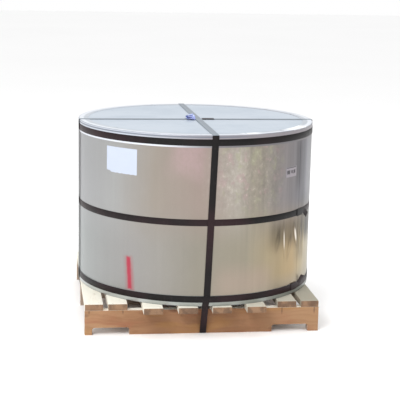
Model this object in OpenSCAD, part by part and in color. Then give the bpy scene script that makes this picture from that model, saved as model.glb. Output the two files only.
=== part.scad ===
// Steel strip coil packed for export, standing on end on a wooden pallet.
// The origin is on the coil's axis, on the floor. +X runs along the stringers,
// the deck boards run along Y, and the front of the pallet faces -Y.

/* [Coil] */
// Outside diameter of the wound strip
coil_d = 1194; // [900:2:1440]
// Bore of the coil, the size of the winding mandrel
bore_d = 508; // [400:2:610]
// Width of the strip, which is the height of the standing coil
strip_w = 828; // [500:2:1000]

/* [Sheet packing] */
// Thickness of the galvanised sheet around the coil
wrap_t = 0.6; // [0.4:0.1:1.2]
// Width over which the sheet laps itself at its seam
wrap_lap = 60; // [30:5:100]
// Direction of the sheet's seam, in degrees from +X
wrap_seam = -37; // [-60:1:-20]
// Thickness of the disc on each end of the coil
cover_t = 0.8; // [0.5:0.1:1.5]
// Thickness of the edge protector rings
ring_t = 1.2; // [0.8:0.1:2]
// Width of a ring's flange on the end of the coil
ring_flange = 50; // [35:1:80]
// Length of the top ring's leg down the side of the coil
ring_leg = 60; // [56:1:90]
// Number of V notches that let a ring's flange follow the curve
ring_notches = 16; // [12:1:24]

/* [Strapping] */
// Width of the steel strapping
strap_w = 32; // [25:1:38]
// Thickness of the steel strapping
strap_t = 0.9; // [0.7:0.1:1.2]
// Distance from the end of the package to the nearest edge of an end band
band_inset = 20; // [12:1:30]
// Drop of the middle band below the middle of the coil
band_drop = 6; // [0:1:40]
// Length of the loose strap end beyond each band's seal
tail_l = 50; // [20:1:60]
// Length of a crimped strap seal
seal_l = 60; // [40:1:80]
// Sheet thickness of a strap seal
seal_t = 1.4; // [1:0.1:2]

/* [Labels] */
// Width of the large paper label
label_w = 187; // [120:1:230]
// Height of the large paper label
label_h = 127; // [80:1:160]
// Width of the small paper label
tag_w = 94; // [60:1:120]
// Height of the small paper label
tag_h = 53; // [40:1:80]

/* [Pallet] */
// Length of the stringers
pallet_w = 1150; // [1064:2:1400]
// Distance over the outer faces of the end stringers
pallet_d = 1070; // [880:2:1300]
// Thickness of a stringer
stringer_t = 40; // [30:1:60]
// Height of a stringer
stringer_h = 122; // [90:1:150]
// Width of the six inner deck boards
board_w = 95; // [70:1:100]
// Width of the two outermost deck boards
edge_board_w = 90; // [60:1:98]
// Thickness of a deck board
board_t = 31; // [20:1:40]
// Gap in the middle of the deck, through which the front strap passes
mid_gap = 70; // [46:1:76]
// Gap between the middle boards and their neighbours
side_gap = 73; // [50:1:80]
// Gap between the two boards at each side of the deck
pair_gap = 22; // [15:1:34]
// Distance by which the four middle boards reach beyond the edge rings
board_over = 20; // [5:1:60]
// Distance from the coil's axis to the middle of the pallet
pallet_shift = -16; // [-40:1:0]
// Width of a fork notch in a stringer
fork_w = 180; // [120:1:230]
// Height of a fork notch
fork_h = 36; // [25:1:60]
// Width of the foot that a fork notch leaves at a stringer's left end
left_foot_w = 36; // [30:1:80]
// Width of the foot at its right end
right_foot_w = 53; // [30:1:80]

/* [Hidden] */
$fn = 180;
// Clearance between pieces that lie over one another
fit = 0.2;
// Clearance inside a seal and between the layers of a strap
slip = 0.1;
// Overlap that makes the sheet and its lap one solid
weld = 0.1;
// Paper thickness, of both labels
paper_t = 0.3;

// Heights, from the floor up
deck_z = stringer_h + board_t;
coil_z = deck_z + ring_t + cover_t;
coil_top = coil_z + strip_w;
cover_top = coil_top + cover_t;
pack_top = cover_top + ring_t;

// Radii, from the coil out
coil_r = coil_d / 2;
wrap_in = coil_r + fit;
wrap_out = wrap_in + wrap_t;
lap_out = wrap_out + wrap_t;
ring_in = lap_out + fit;
ring_out = ring_in + ring_t;
mid_band_in = lap_out + fit;
end_band_in = ring_out + fit;
strap_reach = end_band_in + strap_t + fit;

// Heights of the three bands' lower edges
band_low_z = deck_z + band_inset;
band_mid_z = (coil_z + coil_top - strap_w) / 2 - band_drop;
band_top_z = pack_top - band_inset - strap_w;

// Each band has its seal near the sheet's seam, in its own direction
seal_low_a = -40;
seal_mid_a = -36;
seal_top_a = 152;
// Loose strap ends: the share of their length by which they stand off, and their leans
tail_rise = 0.45;
lean_low = 30;
lean_mid = -24;
lean_top = -5;
tail_steps = 8;
// Height inside a seal, for the two layers of strap that it joins
seal_room = 2 * strap_t + 4 * slip;

// The straps cross beside the middle stringer, so that the side strap passes it
cross_y = -(stringer_t + strap_w) / 2 - 2;
// Middle of the front strap in X: at the pallet, at the low band and on the ring's edges
gap_front_x = pallet_shift;
front_band_x = -8;
front_high_x = 18;
back_high_x = -6;
// Small flat on a strap where it bends over the sharp edge of a ring
bend = 1;
strap_top_z = pack_top + fit;
over_z = strap_top_z + strap_t + slip;
groove_z = strap_t + slip;
groove_w = strap_w + 8;
hump = strap_w / 2 + 2;
// Lean of the strap on the top, and its middle at the distance y from the front
top_run = 2 * (strap_reach - bend);
top_lean = (back_high_x - front_high_x) / top_run;
function top_x(y) = front_high_x + top_lean * (y + strap_reach - bend);

// Middles of the deck boards, in order from the left
half_inner = (mid_gap + board_w) / 2;
half_outer = half_inner + board_w + side_gap;
half_edge = (pallet_w - edge_board_w) / 2;
half_pair = half_edge - (edge_board_w + board_w) / 2 - pair_gap;
board_x = [-half_edge, -half_pair, -half_outer, -half_inner,
           half_inner, half_outer, half_pair, half_edge];
short_end = pallet_d / 2;
long_end = max(short_end, ring_out + board_over);
stringer_pitch = (pallet_d - stringer_t) / 2;

galvanised = [0.72, 0.72, 0.71];
zinc_white = [0.86, 0.88, 0.90];
black = [0.13, 0.13, 0.13];
pine = [0.76, 0.58, 0.40];

// Angle that a length l takes up on a circle of radius r
function arc_angle(l, r) = l / r * 180 / PI;

// A hoop of rectangular section about the Z axis
module hoop(r_in, r_out, z, h) {
    translate([0, 0, z])
        rotate_extrude()
            translate([r_in, 0])
                square([r_out - r_in, h]);
}

// Part of such a hoop, from angle a over sweep degrees
module arc_hoop(r_in, r_out, z, h, a, sweep) {
    translate([0, 0, z])
        rotate([0, 0, a])
            rotate_extrude(angle = sweep)
                translate([r_in, 0])
                    square([r_out - r_in, h]);
}

module steel_coil() {
    color("dimgray")
        hoop(bore_d / 2, coil_r, coil_z, strip_w);
}

module outer_wrap() {
    color(galvanised) {
        hoop(wrap_in, wrap_out, coil_z, strip_w);
        arc_hoop(wrap_out - weld, lap_out, coil_z, strip_w,
                 wrap_seam, arc_angle(wrap_lap, lap_out));
    }
}

module cover(z) {
    color(zinc_white)
        translate([0, 0, z])
            cylinder(r = coil_r, h = cover_t);
}

module top_cover() {
    cover(coil_top);
}

module bottom_cover() {
    cover(coil_z - cover_t);
}

// Edge protector: a ring of L section, its flange on top at z = 0 and notched
module edge_ring(leg) {
    notch_half_w = 4;
    notch_from = 6;
    notch_a = -5;
    color(zinc_white)
        difference() {
            rotate_extrude()
                polygon([
                    [ring_out - ring_flange, 0], [ring_out, 0], [ring_out, -leg],
                    [ring_in, -leg], [ring_in, -ring_t], [ring_out - ring_flange, -ring_t]
                ]);
            for (i = [0 : ring_notches - 1])
                rotate([0, 0, notch_a + i * 360 / ring_notches])
                    translate([0, 0, -ring_t - 1])
                        linear_extrude(height = ring_t + 2)
                            polygon([
                                [ring_out - notch_from, 0],
                                [ring_out - ring_flange - 1, notch_half_w],
                                [ring_out - ring_flange - 1, -notch_half_w]
                            ]);
        }
}

module top_ring() {
    translate([0, 0, pack_top])
        edge_ring(ring_leg);
}

// The bottom ring's leg ends level with its band's upper edge
module bottom_ring() {
    translate([0, 0, deck_z])
        mirror([0, 0, 1])
            edge_ring(band_inset + strap_w);
}

// Loose strap end: starts on the radius r in direction a and curls off the coil
module strap_tail(r, z, a, lean) {
    step = tail_l / tail_steps;
    turn = arc_angle(step, r);
    function off(i) = i < 1 ? 0 : tail_rise * pow(i * step, 2) / tail_l;
    function at(i, radius) = (radius + off(i)) * [cos(i * turn), sin(i * turn)];
    rotate([0, 0, a])
        translate([r, 0, z + strap_w / 2])
            rotate([lean, 0, 0])
                translate([-r, 0, -strap_w / 2])
                    linear_extrude(height = strap_w)
                        polygon(concat(
                            [for (i = [-1 : tail_steps]) at(i, r)],
                            [for (i = [tail_steps : -1 : -1]) at(i, r + strap_t)]
                        ));
}

// A band round the coil: one strip whose end climbs over its start, and the loose end
module band(r_in, z, seal_a, lean) {
    step = 2;
    turn = 360 / step;
    climb = 3;
    layer = strap_t + slip;
    lap = ceil(arc_angle(seal_l * 1.5, r_in) / step);
    start_a = seal_a - lap * step / 2;
    function lift(i) = layer * max(0, min(1, (i - turn + climb) / climb));
    function at(i, r) = (r + lift(i)) / cos(step / 2) * [cos(i * step), sin(i * step)];
    color(black) {
        translate([0, 0, z])
            rotate([0, 0, start_a])
                linear_extrude(height = strap_w)
                    polygon(concat(
                        [for (i = [0 : turn + lap]) at(i, r_in)],
                        [for (i = [turn + lap : -1 : 0]) at(i, r_in + strap_t)]
                    ));
        strap_tail(r_in + layer + slip, z, start_a + lap * step, lean);
    }
}

module bottom_band() {
    band(end_band_in, band_low_z, seal_low_a, lean_low);
}

module middle_band() {
    band(mid_band_in, band_mid_z, seal_mid_a, lean_mid);
}

module top_band() {
    band(end_band_in, band_top_z, seal_top_a, lean_top);
}

// Crimped seal on a band: a plate with two side walls, bent to the band's curve
module band_seal(r_in, z, a) {
    sweep = arc_angle(seal_l, r_in);
    r_room = r_in + seal_room;
    inner = strap_w / 2 + slip;
    outer = inner + seal_t;
    color(black)
        translate([0, 0, z + strap_w / 2])
            rotate([0, 0, a - sweep / 2])
                rotate_extrude(angle = sweep)
                    polygon([
                        [r_in, -outer], [r_room + seal_t, -outer], [r_room + seal_t, outer],
                        [r_in, outer], [r_in, inner], [r_room, inner], [r_room, -inner],
                        [r_in, -inner]
                    ]);
}

module bottom_seal() {
    band_seal(end_band_in, band_low_z, seal_low_a);
}

module middle_seal() {
    band_seal(mid_band_in, band_mid_z, seal_mid_a);
}

module top_seal() {
    band_seal(end_band_in, band_top_z, seal_top_a);
}

// Point i of a closed clockwise outline, moved out by t
function unit(v) = v / norm(v);
function left_of(v) = [-v[1], v[0]];
function moved_out(path, i, t) = let (
    n = len(path),
    a = left_of(unit(path[i] - path[(i + n - 1) % n])),
    b = left_of(unit(path[(i + 1) % n] - path[i]))
) path[i] + t * (a + b) / (1 + a * b);

// A closed loop of strap. path is its inner outline as [along, up], clockwise, and
// side is the middle of the strap's width at each of those points.
module strap_loop(path, side) {
    n = len(path);
    half = strap_w / 2;
    points = [
        for (i = [0 : n - 1])
            let (p = path[i], q = moved_out(path, i, strap_t), s = side[i])
                each [[s - half, p[0], p[1]], [s + half, p[0], p[1]],
                      [s + half, q[0], q[1]], [s - half, q[0], q[1]]]
    ];
    faces = [
        for (i = [0 : n - 1], k = [0 : 3])
            let (j = (i + 1) % n, m = (k + 1) % 4)
                [4 * i + k, 4 * i + m, 4 * j + m, 4 * j + k]
    ];
    polyhedron(points, faces, convexity = 4);
}

// The strap from side to side, which goes on under the deck boards
module side_strap() {
    under_z = stringer_h - fit;
    left_x = pallet_shift - pallet_w / 2 - fit;
    right_x = pallet_shift + pallet_w / 2 + fit;
    chord = sqrt(pow(strap_reach, 2) - pow(abs(cross_y) - strap_w / 2, 2));
    path = [
        [left_x, under_z], [-chord, deck_z],
        [-chord, strap_top_z - bend], [-chord + bend, strap_top_z],
        [chord - bend, strap_top_z], [chord, strap_top_z - bend],
        [chord, deck_z], [right_x, under_z]
    ];
    color(black)
        translate([0, cross_y, 0])
            rotate([0, 0, -90])
                strap_loop(path, [for (p = path) 0]);
}

// The strap from front to back, over the side strap and under the stringers
module front_strap() {
    end_y = pallet_d / 2 + fit;
    band_z = band_low_z + strap_w;
    path = [
        [-end_y, groove_z], [-strap_reach, deck_z], [-strap_reach, band_z],
        [-strap_reach, strap_top_z - bend], [-strap_reach + bend, strap_top_z],
        [cross_y - hump, over_z], [cross_y + hump, over_z],
        [strap_reach - bend, strap_top_z], [strap_reach, strap_top_z - bend],
        [strap_reach, band_z], [strap_reach, deck_z], [end_y, groove_z]
    ];
    side = [
        gap_front_x, gap_front_x, front_band_x,
        front_high_x, front_high_x,
        top_x(cross_y - hump), top_x(cross_y + hump),
        back_high_x, back_high_x,
        front_band_x, gap_front_x, gap_front_x
    ];
    color(black) strap_loop(path, side);
}

// The side strap's seal lies on the top, right of the crossing
module side_strap_seal() {
    from_x = top_x(cross_y) + strap_w / 2 + 6;
    wall = slip + seal_t;
    color(black)
        translate([from_x, cross_y - strap_w / 2 - wall, strap_top_z])
            difference() {
                cube([seal_l, strap_w + 2 * wall, seal_room - strap_t + wall]);
                translate([-1, seal_t, -1])
                    cube([seal_l + 2, strap_w + 2 * slip, 1 + seal_room - strap_t + slip]);
            }
}

// Plastic tape that ties the straps together, as the block that it fills.
// It lies left of the front strap and over the side strap.
module crossing_tie() {
    tie_w = 40;
    tie_l = 96;
    tie_h = 7;
    front_y = cross_y - tie_l / 3;
    strap_left = min(top_x(front_y), top_x(front_y + tie_l)) - strap_w / 2;
    from_x = strap_left - fit - tie_w;
    color([0.45, 0.47, 0.75])
        difference() {
            translate([from_x, front_y, cover_top])
                cube([tie_w, tie_l, tie_h]);
            translate([from_x - 1, cross_y - strap_w / 2 - slip, cover_top - 1])
                cube([tie_w + 2, strap_w + 2 * slip, 1 + over_z - cover_top]);
        }
}

// Paper label on the sheet, its middle in direction a, its upper edge at z
module paper_label(a, z, w, h) {
    r = wrap_out + slip;
    sweep = arc_angle(w, r);
    arc_hoop(r, r + paper_t, z - h, h, a - sweep / 2, sweep);
}

module large_label() {
    label_a = -134;
    below_ring = 25;
    color("white")
        paper_label(label_a, pack_top - ring_leg - below_ring, label_w, label_h);
}

module small_label() {
    tag_a = -45;
    below_ring = 120;
    color("mistyrose")
        paper_label(tag_a, pack_top - ring_leg - below_ring, tag_w, tag_h);
}

// Tool for a fork notch, fork_w wide from x = 0, with two rounded upper corners
module fork_notch() {
    corner_r = 12;
    depth = stringer_t + 2;
    translate([0, depth / 2, 0])
        rotate([90, 0, 0])
            linear_extrude(height = depth)
                union() {
                    translate([0, -1]) square([fork_w, 1 + fork_h - corner_r]);
                    translate([corner_r, 0]) square([fork_w - 2 * corner_r, fork_h]);
                    translate([corner_r, fork_h - corner_r]) circle(r = corner_r);
                    translate([fork_w - corner_r, fork_h - corner_r]) circle(r = corner_r);
                }
}

// Stringer at y: fork notches in its lower edge, and a groove for the front strap
module stringer(y) {
    left_x = pallet_shift - pallet_w / 2;
    color(pine)
        translate([0, y, 0])
            difference() {
                translate([left_x, -stringer_t / 2, 0])
                    cube([pallet_w, stringer_t, stringer_h]);
                translate([left_x + left_foot_w, 0, 0])
                    fork_notch();
                translate([left_x + pallet_w - right_foot_w - fork_w, 0, 0])
                    fork_notch();
                translate([gap_front_x - groove_w / 2, -stringer_t, -1])
                    cube([groove_w, 2 * stringer_t, 1 + groove_z]);
            }
}

module stringer_front() {
    stringer(-stringer_pitch);
}

module stringer_middle() {
    stringer(0);
}

module stringer_back() {
    stringer(stringer_pitch);
}

// Deck board of width w, its middle at x from the middle of the pallet, its ends at +-end
module deck_board(x, w, end) {
    color(pine)
        translate([pallet_shift + x - w / 2, -end, stringer_h])
            cube([w, 2 * end, board_t]);
}

module deck_board_1() {
    deck_board(board_x[0], edge_board_w, short_end);
}

module deck_board_2() {
    deck_board(board_x[1], board_w, short_end);
}

module deck_board_3() {
    deck_board(board_x[2], board_w, long_end);
}

module deck_board_4() {
    deck_board(board_x[3], board_w, long_end);
}

module deck_board_5() {
    deck_board(board_x[4], board_w, long_end);
}

module deck_board_6() {
    deck_board(board_x[5], board_w, long_end);
}

module deck_board_7() {
    deck_board(board_x[6], board_w, short_end);
}

module deck_board_8() {
    deck_board(board_x[7], edge_board_w, short_end);
}

steel_coil();
outer_wrap();
top_cover();
bottom_cover();
top_ring();
bottom_ring();
bottom_band();
middle_band();
top_band();
side_strap();
front_strap();
bottom_seal();
middle_seal();
top_seal();
side_strap_seal();
crossing_tie();
large_label();
small_label();
stringer_front();
stringer_middle();
stringer_back();
deck_board_1();
deck_board_2();
deck_board_3();
deck_board_4();
deck_board_5();
deck_board_6();
deck_board_7();
deck_board_8();
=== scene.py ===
"""Looks of a packed steel coil on its pallet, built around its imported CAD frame.

The coil stands on end on a notched stringer pallet. It is wrapped in galvanised sheet, closed by a pale
cover and a notched edge ring at each end, held by three black steel bands and tied down by two crossed
straps. Lengths are metres in the frame of the CAD model: +Z up along the coil's axis, the pallet's front
towards -Y, the origin on the floor.
"""

import logging
import math
import random
from collections.abc import Sequence
from dataclasses import dataclass, field
from enum import Enum

import bmesh
import bpy
from mathutils import Matrix, Vector, noise


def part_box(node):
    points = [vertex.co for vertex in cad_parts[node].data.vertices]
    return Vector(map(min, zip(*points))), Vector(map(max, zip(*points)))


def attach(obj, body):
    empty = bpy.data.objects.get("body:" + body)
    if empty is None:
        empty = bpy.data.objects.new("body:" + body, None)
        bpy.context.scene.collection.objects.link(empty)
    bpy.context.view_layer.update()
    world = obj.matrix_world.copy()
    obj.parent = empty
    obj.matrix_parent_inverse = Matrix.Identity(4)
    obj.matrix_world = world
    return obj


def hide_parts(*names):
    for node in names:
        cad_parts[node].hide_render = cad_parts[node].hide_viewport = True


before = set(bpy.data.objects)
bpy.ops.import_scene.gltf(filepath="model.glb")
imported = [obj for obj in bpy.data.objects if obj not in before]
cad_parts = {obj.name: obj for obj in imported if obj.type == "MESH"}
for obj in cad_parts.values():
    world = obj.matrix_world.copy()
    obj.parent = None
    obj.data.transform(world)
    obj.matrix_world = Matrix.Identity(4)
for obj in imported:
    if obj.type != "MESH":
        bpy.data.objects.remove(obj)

LOG = logging.getLogger("steel_coil")
BODY = "root"
DEGREES = 180 / math.pi
Colour = tuple[float, float, float]
Point = tuple[float, float, float]
Face = tuple[int, ...]


# ----------------------------------------------------------
# Shader and geometry node toolkits
# ----------------------------------------------------------


def srgb(red: int, green: int, blue: int) -> Colour:
    """Turns a display colour into the linear colour that shaders use.

    Args:
        red: Red from 0 to 255.
        green: Green from 0 to 255.
        blue: Blue from 0 to 255.

    Returns:
        The linear colour.
    """

    def linear(level: int) -> float:
        """Linear value of one display level."""
        share = level / 255
        return share / 12.92 if share <= 0.04045 else ((share + 0.055) / 1.055) ** 2.4

    return linear(red), linear(green), linear(blue)


class Value:
    """A node's output that can be used in Python expressions, which add Math nodes."""

    def __init__(self, kit: "NodeKit", socket: bpy.types.NodeSocket) -> None:
        """Wraps an output socket of a tree."""
        self.kit = kit
        self.socket = socket

    def maths(self, operation: str, *others: "Value | float") -> "Value":
        """Adds a Math node whose first value is this one.

        Args:
            operation: The Math node's operation.
            others: The operation's other values.

        Returns:
            The node's result.
        """
        return self.kit.node("ShaderNodeMath", {"operation": operation}, dict(enumerate((self, *others))))

    def __add__(self, other: "Value | float") -> "Value":
        """This value plus another."""
        return self.maths("ADD", other)

    __radd__ = __add__

    def __mul__(self, other: "Value | float") -> "Value":
        """This value times another."""
        return self.maths("MULTIPLY", other)

    __rmul__ = __mul__

    def __sub__(self, other: "Value | float") -> "Value":
        """This value less another."""
        return self.maths("SUBTRACT", other)

    def __rsub__(self, other: float) -> "Value":
        """A number less this value."""
        return self.maths("MULTIPLY", -1.0).maths("ADD", other)

    def __truediv__(self, other: "Value | float") -> "Value":
        """This value over another."""
        return self.maths("DIVIDE", other)

    def __abs__(self) -> "Value":
        """This value without its sign."""
        return self.maths("ABSOLUTE")

    def ramp(self, low: float, high: float) -> "Value":
        """Smooth step of this value.

        Args:
            low: The value that gives 0.
            high: The value that gives 1; it may be the smaller one.

        Returns:
            A value from 0 to 1.
        """
        if low > high:
            return 1.0 - self.ramp(high, low)
        settings = {"interpolation_type": "SMOOTHSTEP"}
        inputs = {"Value": self, "From Min": low, "From Max": high}
        return self.kit.node("ShaderNodeMapRange", settings, inputs)

    def within(self, low: float, high: float, soft: float) -> "Value":
        """Mask that is 1 between two values and fades out over edges of half width soft."""
        return self.ramp(low - soft, low + soft) * self.ramp(high + soft, high - soft)


class NodeKit:
    """Adds nodes to one node tree."""

    def __init__(self, tree: bpy.types.NodeTree) -> None:
        """Starts on an emptied tree."""
        self.tree = tree
        tree.nodes.clear()

    def add(
        self,
        kind: str,
        settings: dict[str, object] | None = None,
        inputs: dict[int | str, object] | None = None,
    ) -> bpy.types.Node:
        """Adds a node.

        Args:
            kind: The node's type.
            settings: Its settings, set first; "stops" gives a colour ramp's (position, colour) pairs.
            inputs: Values or links for its sockets, by name, identifier or index.

        Returns:
            The node.
        """
        made = self.tree.nodes.new(kind)
        for name, setting in (settings or {}).items():
            if name == "stops":
                self._set_stops(made.color_ramp, setting)
            else:
                setattr(made, name, setting)
        for key, value in (inputs or {}).items():
            self.feed(self._socket(made, key), value)
        return made

    def node(
        self,
        kind: str,
        settings: dict[str, object] | None = None,
        inputs: dict[int | str, object] | None = None,
        output: int | str = 0,
    ) -> Value:
        """Adds a node and returns one of its outputs; the arguments are those of add."""
        return Value(self, self.add(kind, settings, inputs).outputs[output])

    def feed(self, socket: bpy.types.NodeSocket, value: object) -> None:
        """Links a Value to a socket, or sets the socket's own value.

        Args:
            socket: The input socket.
            value: A Value, or what the socket's own value becomes.
        """
        if isinstance(value, Value):
            self.tree.links.new(value.socket, socket)
        elif isinstance(value, tuple) and socket.type == "RGBA":
            socket.default_value = (*value[:3], 1.0)
        else:
            socket.default_value = value

    @staticmethod
    def _socket(made: bpy.types.Node, key: int | str) -> bpy.types.NodeSocket:
        """Finds an input socket of a node.

        Args:
            made: The node.
            key: The socket's index, identifier or name.

        Returns:
            The socket.
        """
        if isinstance(key, int):
            return made.inputs[key]
        for socket in made.inputs:
            if socket.identifier == key:
                return socket
        return made.inputs[key]

    @staticmethod
    def _set_stops(ramp: bpy.types.ColorRamp, stops: Sequence[tuple[float, Colour]]) -> None:
        """Gives a colour ramp its stops.

        Args:
            ramp: The ramp.
            stops: Pairs of a position and a colour.
        """
        while len(ramp.elements) < len(stops):
            ramp.elements.new(1.0)
        for element, (position, colour) in zip(ramp.elements, stops):
            element.position = position
            element.color = (*colour, 1.0)


class Surface(NodeKit):
    """The node tree of one material, with the patterns that finishes are made of."""

    def __init__(self, name: str) -> None:
        """Makes the material.

        Args:
            name: Its name.
        """
        self.material = bpy.data.materials.new(name)
        self.material.use_nodes = True
        super().__init__(self.material.node_tree)
        coordinates = self.add("ShaderNodeTexCoord")
        self.place = Value(self, coordinates.outputs["Object"])
        geometry = self.add("ShaderNodeNewGeometry")
        self.normal = Value(self, geometry.outputs["Normal"])

    def axes(self, vector: Value) -> tuple[Value, Value, Value]:
        """The three parts of a vector."""
        parts = self.add("ShaderNodeSeparateXYZ", None, {0: vector}).outputs
        return Value(self, parts[0]), Value(self, parts[1]), Value(self, parts[2])

    def turn(self) -> Value:
        """Direction about the coil's axis, in degrees from +X."""
        x, y, _ = self.axes(self.place)
        return y.maths("ARCTAN2", x) * DEGREES

    def length(self, vector: Value) -> Value:
        """Length of a vector."""
        return self.node("ShaderNodeVectorMath", {"operation": "LENGTH"}, {0: vector}, "Value")

    def vector(self, x: Value | float, y: Value | float, z: Value | float) -> Value:
        """A vector of three values."""
        return self.node("ShaderNodeCombineXYZ", None, {0: x, 1: y, 2: z})

    def mapped(self, scale: Point, shift: Point = (0.0, 0.0, 0.0), vector: Value | None = None) -> Value:
        """Scaled and shifted coordinates, the object's own if none are given."""
        source = vector if vector is not None else self.place
        return self.node("ShaderNodeMapping", None, {"Vector": source, "Location": shift, "Scale": scale})

    def noise(self, vector: Value, scale: float = 1.0, detail: float = 3.0, rough: float = 0.55) -> Value:
        """Soft noise from 0 to 1."""
        inputs = {"Vector": vector, "Scale": scale, "Detail": detail, "Roughness": rough}
        return self.node("ShaderNodeTexNoise", None, inputs)

    def cells(self, vector: Value) -> Value:
        """Distance to the nearest centre of a pattern of random cells."""
        return self.node("ShaderNodeTexVoronoi", {"feature": "F1"}, {"Vector": vector, "Scale": 1.0})

    def blend(self, low: Value | Colour, high: Value | Colour, share: Value | float) -> Value:
        """Mixes two colours.

        Args:
            low: The colour where share is 0.
            high: The colour where share is 1.
            share: The factor.

        Returns:
            The mixed colour.
        """
        settings = {"data_type": "RGBA", "blend_type": "MIX", "clamp_factor": True}
        inputs = {"Factor_Float": share, "A_Color": low, "B_Color": high}
        made = self.add("ShaderNodeMix", settings, inputs)
        return Value(self, next(out for out in made.outputs if out.identifier == "Result_Color"))

    def gradient(self, share: Value, stops: Sequence[tuple[float, Colour]]) -> Value:
        """Colour ramp over a value."""
        return self.node("ShaderNodeValToRGB", {"stops": stops}, {0: share})

    def shaded(self, colour: Value | Colour, amount: Value) -> Value:
        """Colour times a grey level, which may pass 1."""
        grey = self.vector(amount, amount, amount)
        return self.node("ShaderNodeVectorMath", {"operation": "MULTIPLY"}, {0: colour, 1: grey})

    def bump(self, height: Value, depth: float, strength: float) -> Value:
        """Normal of a relief, depth metres high where height goes from 0 to 1."""
        inputs = {"Height": height, "Distance": depth, "Strength": strength}
        return self.node("ShaderNodeBump", None, inputs, "Normal")

    def finish(self, **inputs: object) -> bpy.types.Material:
        """Closes the tree with a principled shader.

        Args:
            inputs: Values of the shader's sockets, with _ for a space.

        Returns:
            The material.
        """
        named = {name.replace("_", " "): value for name, value in inputs.items()}
        shader = self.node("ShaderNodeBsdfPrincipled", None, named)
        self.add("ShaderNodeOutputMaterial", None, {"Surface": shader})
        return self.material


class SocketKind(Enum):
    """Kinds of input that a shape tree can have."""

    LENGTH = "NodeSocketFloat"
    COUNT = "NodeSocketInt"


class ShapeTree(NodeKit):
    """A geometry nodes tree with named inputs, used to finish one piece into a plain mesh."""

    def __init__(self, name: str) -> None:
        """Makes the tree with its geometry sockets.

        Args:
            name: Its name.
        """
        group = bpy.data.node_groups.new(name, "GeometryNodeTree")
        super().__init__(group)
        group.interface.new_socket("Geometry", in_out="INPUT", socket_type="NodeSocketGeometry")
        group.interface.new_socket("Geometry", in_out="OUTPUT", socket_type="NodeSocketGeometry")
        self.group = group
        self.entry = self.add("NodeGroupInput")
        self.settings: dict[str, float | int] = {}

    @property
    def geometry(self) -> Value:
        """The geometry that the tree is given."""
        return Value(self, self.entry.outputs["Geometry"])

    def size(self, name: str, value: float | int, kind: SocketKind = SocketKind.LENGTH) -> Value:
        """Adds a named input.

        Args:
            name: The input's name.
            value: What this piece sets it to.
            kind: The input's kind.

        Returns:
            The input's value inside the tree.
        """
        socket = self.group.interface.new_socket(name, in_out="INPUT", socket_type=kind.value)
        self.settings[socket.identifier] = value
        return Value(self, next(out for out in self.entry.outputs if out.identifier == socket.identifier))

    def close(self, geometry: Value, material: bpy.types.Material) -> None:
        """Ends the tree in Realize Instances and Set Material.

        Args:
            geometry: The tree's result.
            material: The material that it takes.
        """
        real = self.node("GeometryNodeRealizeInstances", None, {0: geometry})
        dressed = self.node("GeometryNodeSetMaterial", None, {"Geometry": real, "Material": material})
        self.add("NodeGroupOutput", None, {0: dressed})

    def apply(self, name: str, mesh: bpy.types.Mesh, bevel: float = 0.0) -> bpy.types.Object:
        """Runs the tree on a mesh.

        Args:
            name: The finished piece's name.
            mesh: The geometry that the tree starts from.
            bevel: Width of a bevel on sharp edges, added after the tree, or 0.

        Returns:
            An object with the plain mesh that results.
        """
        source = bpy.data.objects.new(name + "_source", mesh)
        bpy.context.scene.collection.objects.link(source)
        modifier = source.modifiers.new("shape", "NODES")
        modifier.node_group = self.group
        for identifier, value in self.settings.items():
            modifier[identifier] = value
        if bevel:
            add_bevel(source, bevel)
        evaluated = source.evaluated_get(bpy.context.evaluated_depsgraph_get())
        plain = bpy.data.meshes.new_from_object(evaluated)
        bpy.data.objects.remove(source)
        return add_piece(name, plain)


# ----------------------------------------------------------
# Mesh helpers
# ----------------------------------------------------------


def add_piece(name: str, mesh: bpy.types.Mesh) -> bpy.types.Object:
    """Puts a mesh in the scene as an object at the origin.

    Args:
        name: The name of the object and of its mesh.
        mesh: The mesh.

    Returns:
        The object.
    """
    mesh.name = name
    piece = bpy.data.objects.new(name, mesh)
    bpy.context.scene.collection.objects.link(piece)
    return piece


def add_bevel(piece: bpy.types.Object, width: float) -> None:
    """Adds a bevel on the sharp edges of a piece.

    Args:
        piece: The piece.
        width: Width of the bevel.
    """
    bevel = piece.modifiers.new("bevel", "BEVEL")
    bevel.width = width
    bevel.segments = 2
    bevel.limit_method = "ANGLE"
    bevel.angle_limit = math.radians(40)
    bevel.harden_normals = False


def mesh_from(name: str, points: Sequence[Point], faces: Sequence[Sequence[int]]) -> bpy.types.Mesh:
    """Makes a mesh whose normals point outwards.

    Args:
        name: The mesh's name.
        points: Its points.
        faces: Its faces, as the numbers of their points.

    Returns:
        The mesh.
    """
    mesh = bpy.data.meshes.new(name)
    mesh.from_pydata(points, [], faces)
    face_outwards(mesh)
    return mesh


def face_outwards(mesh: bpy.types.Mesh) -> None:
    """Merges the points of a closed mesh that coincide and turns its faces outwards.

    Args:
        mesh: The mesh.
    """
    shape = bmesh.new()
    shape.from_mesh(mesh)
    bmesh.ops.remove_doubles(shape, verts=shape.verts, dist=1e-6)
    bmesh.ops.recalc_face_normals(shape, faces=shape.faces)
    shape.to_mesh(mesh)
    shape.free()


def smooth(mesh: bpy.types.Mesh, sharp_from: float) -> None:
    """Shades a mesh smooth but for edges that turn by more than an angle in degrees."""
    mesh.polygons.foreach_set("use_smooth", [True] * len(mesh.polygons))
    mesh.set_sharp_from_angle(angle=math.radians(sharp_from))


def settle(piece: bpy.types.Object, slot: str, *nodes: str) -> None:
    """Makes a piece ride on the part and stand for CAD nodes.

    Args:
        piece: The finished piece.
        slot: Name of a material slot; not used.
        nodes: The CAD nodes that it stands for.
    """
    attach(piece, BODY)
    if nodes:
        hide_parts(*nodes)
    stands_for = ", ".join(nodes) or "nothing"
    LOG.info("%s: %d faces, stands for %s", piece.name, len(piece.data.polygons), stands_for)


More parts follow.
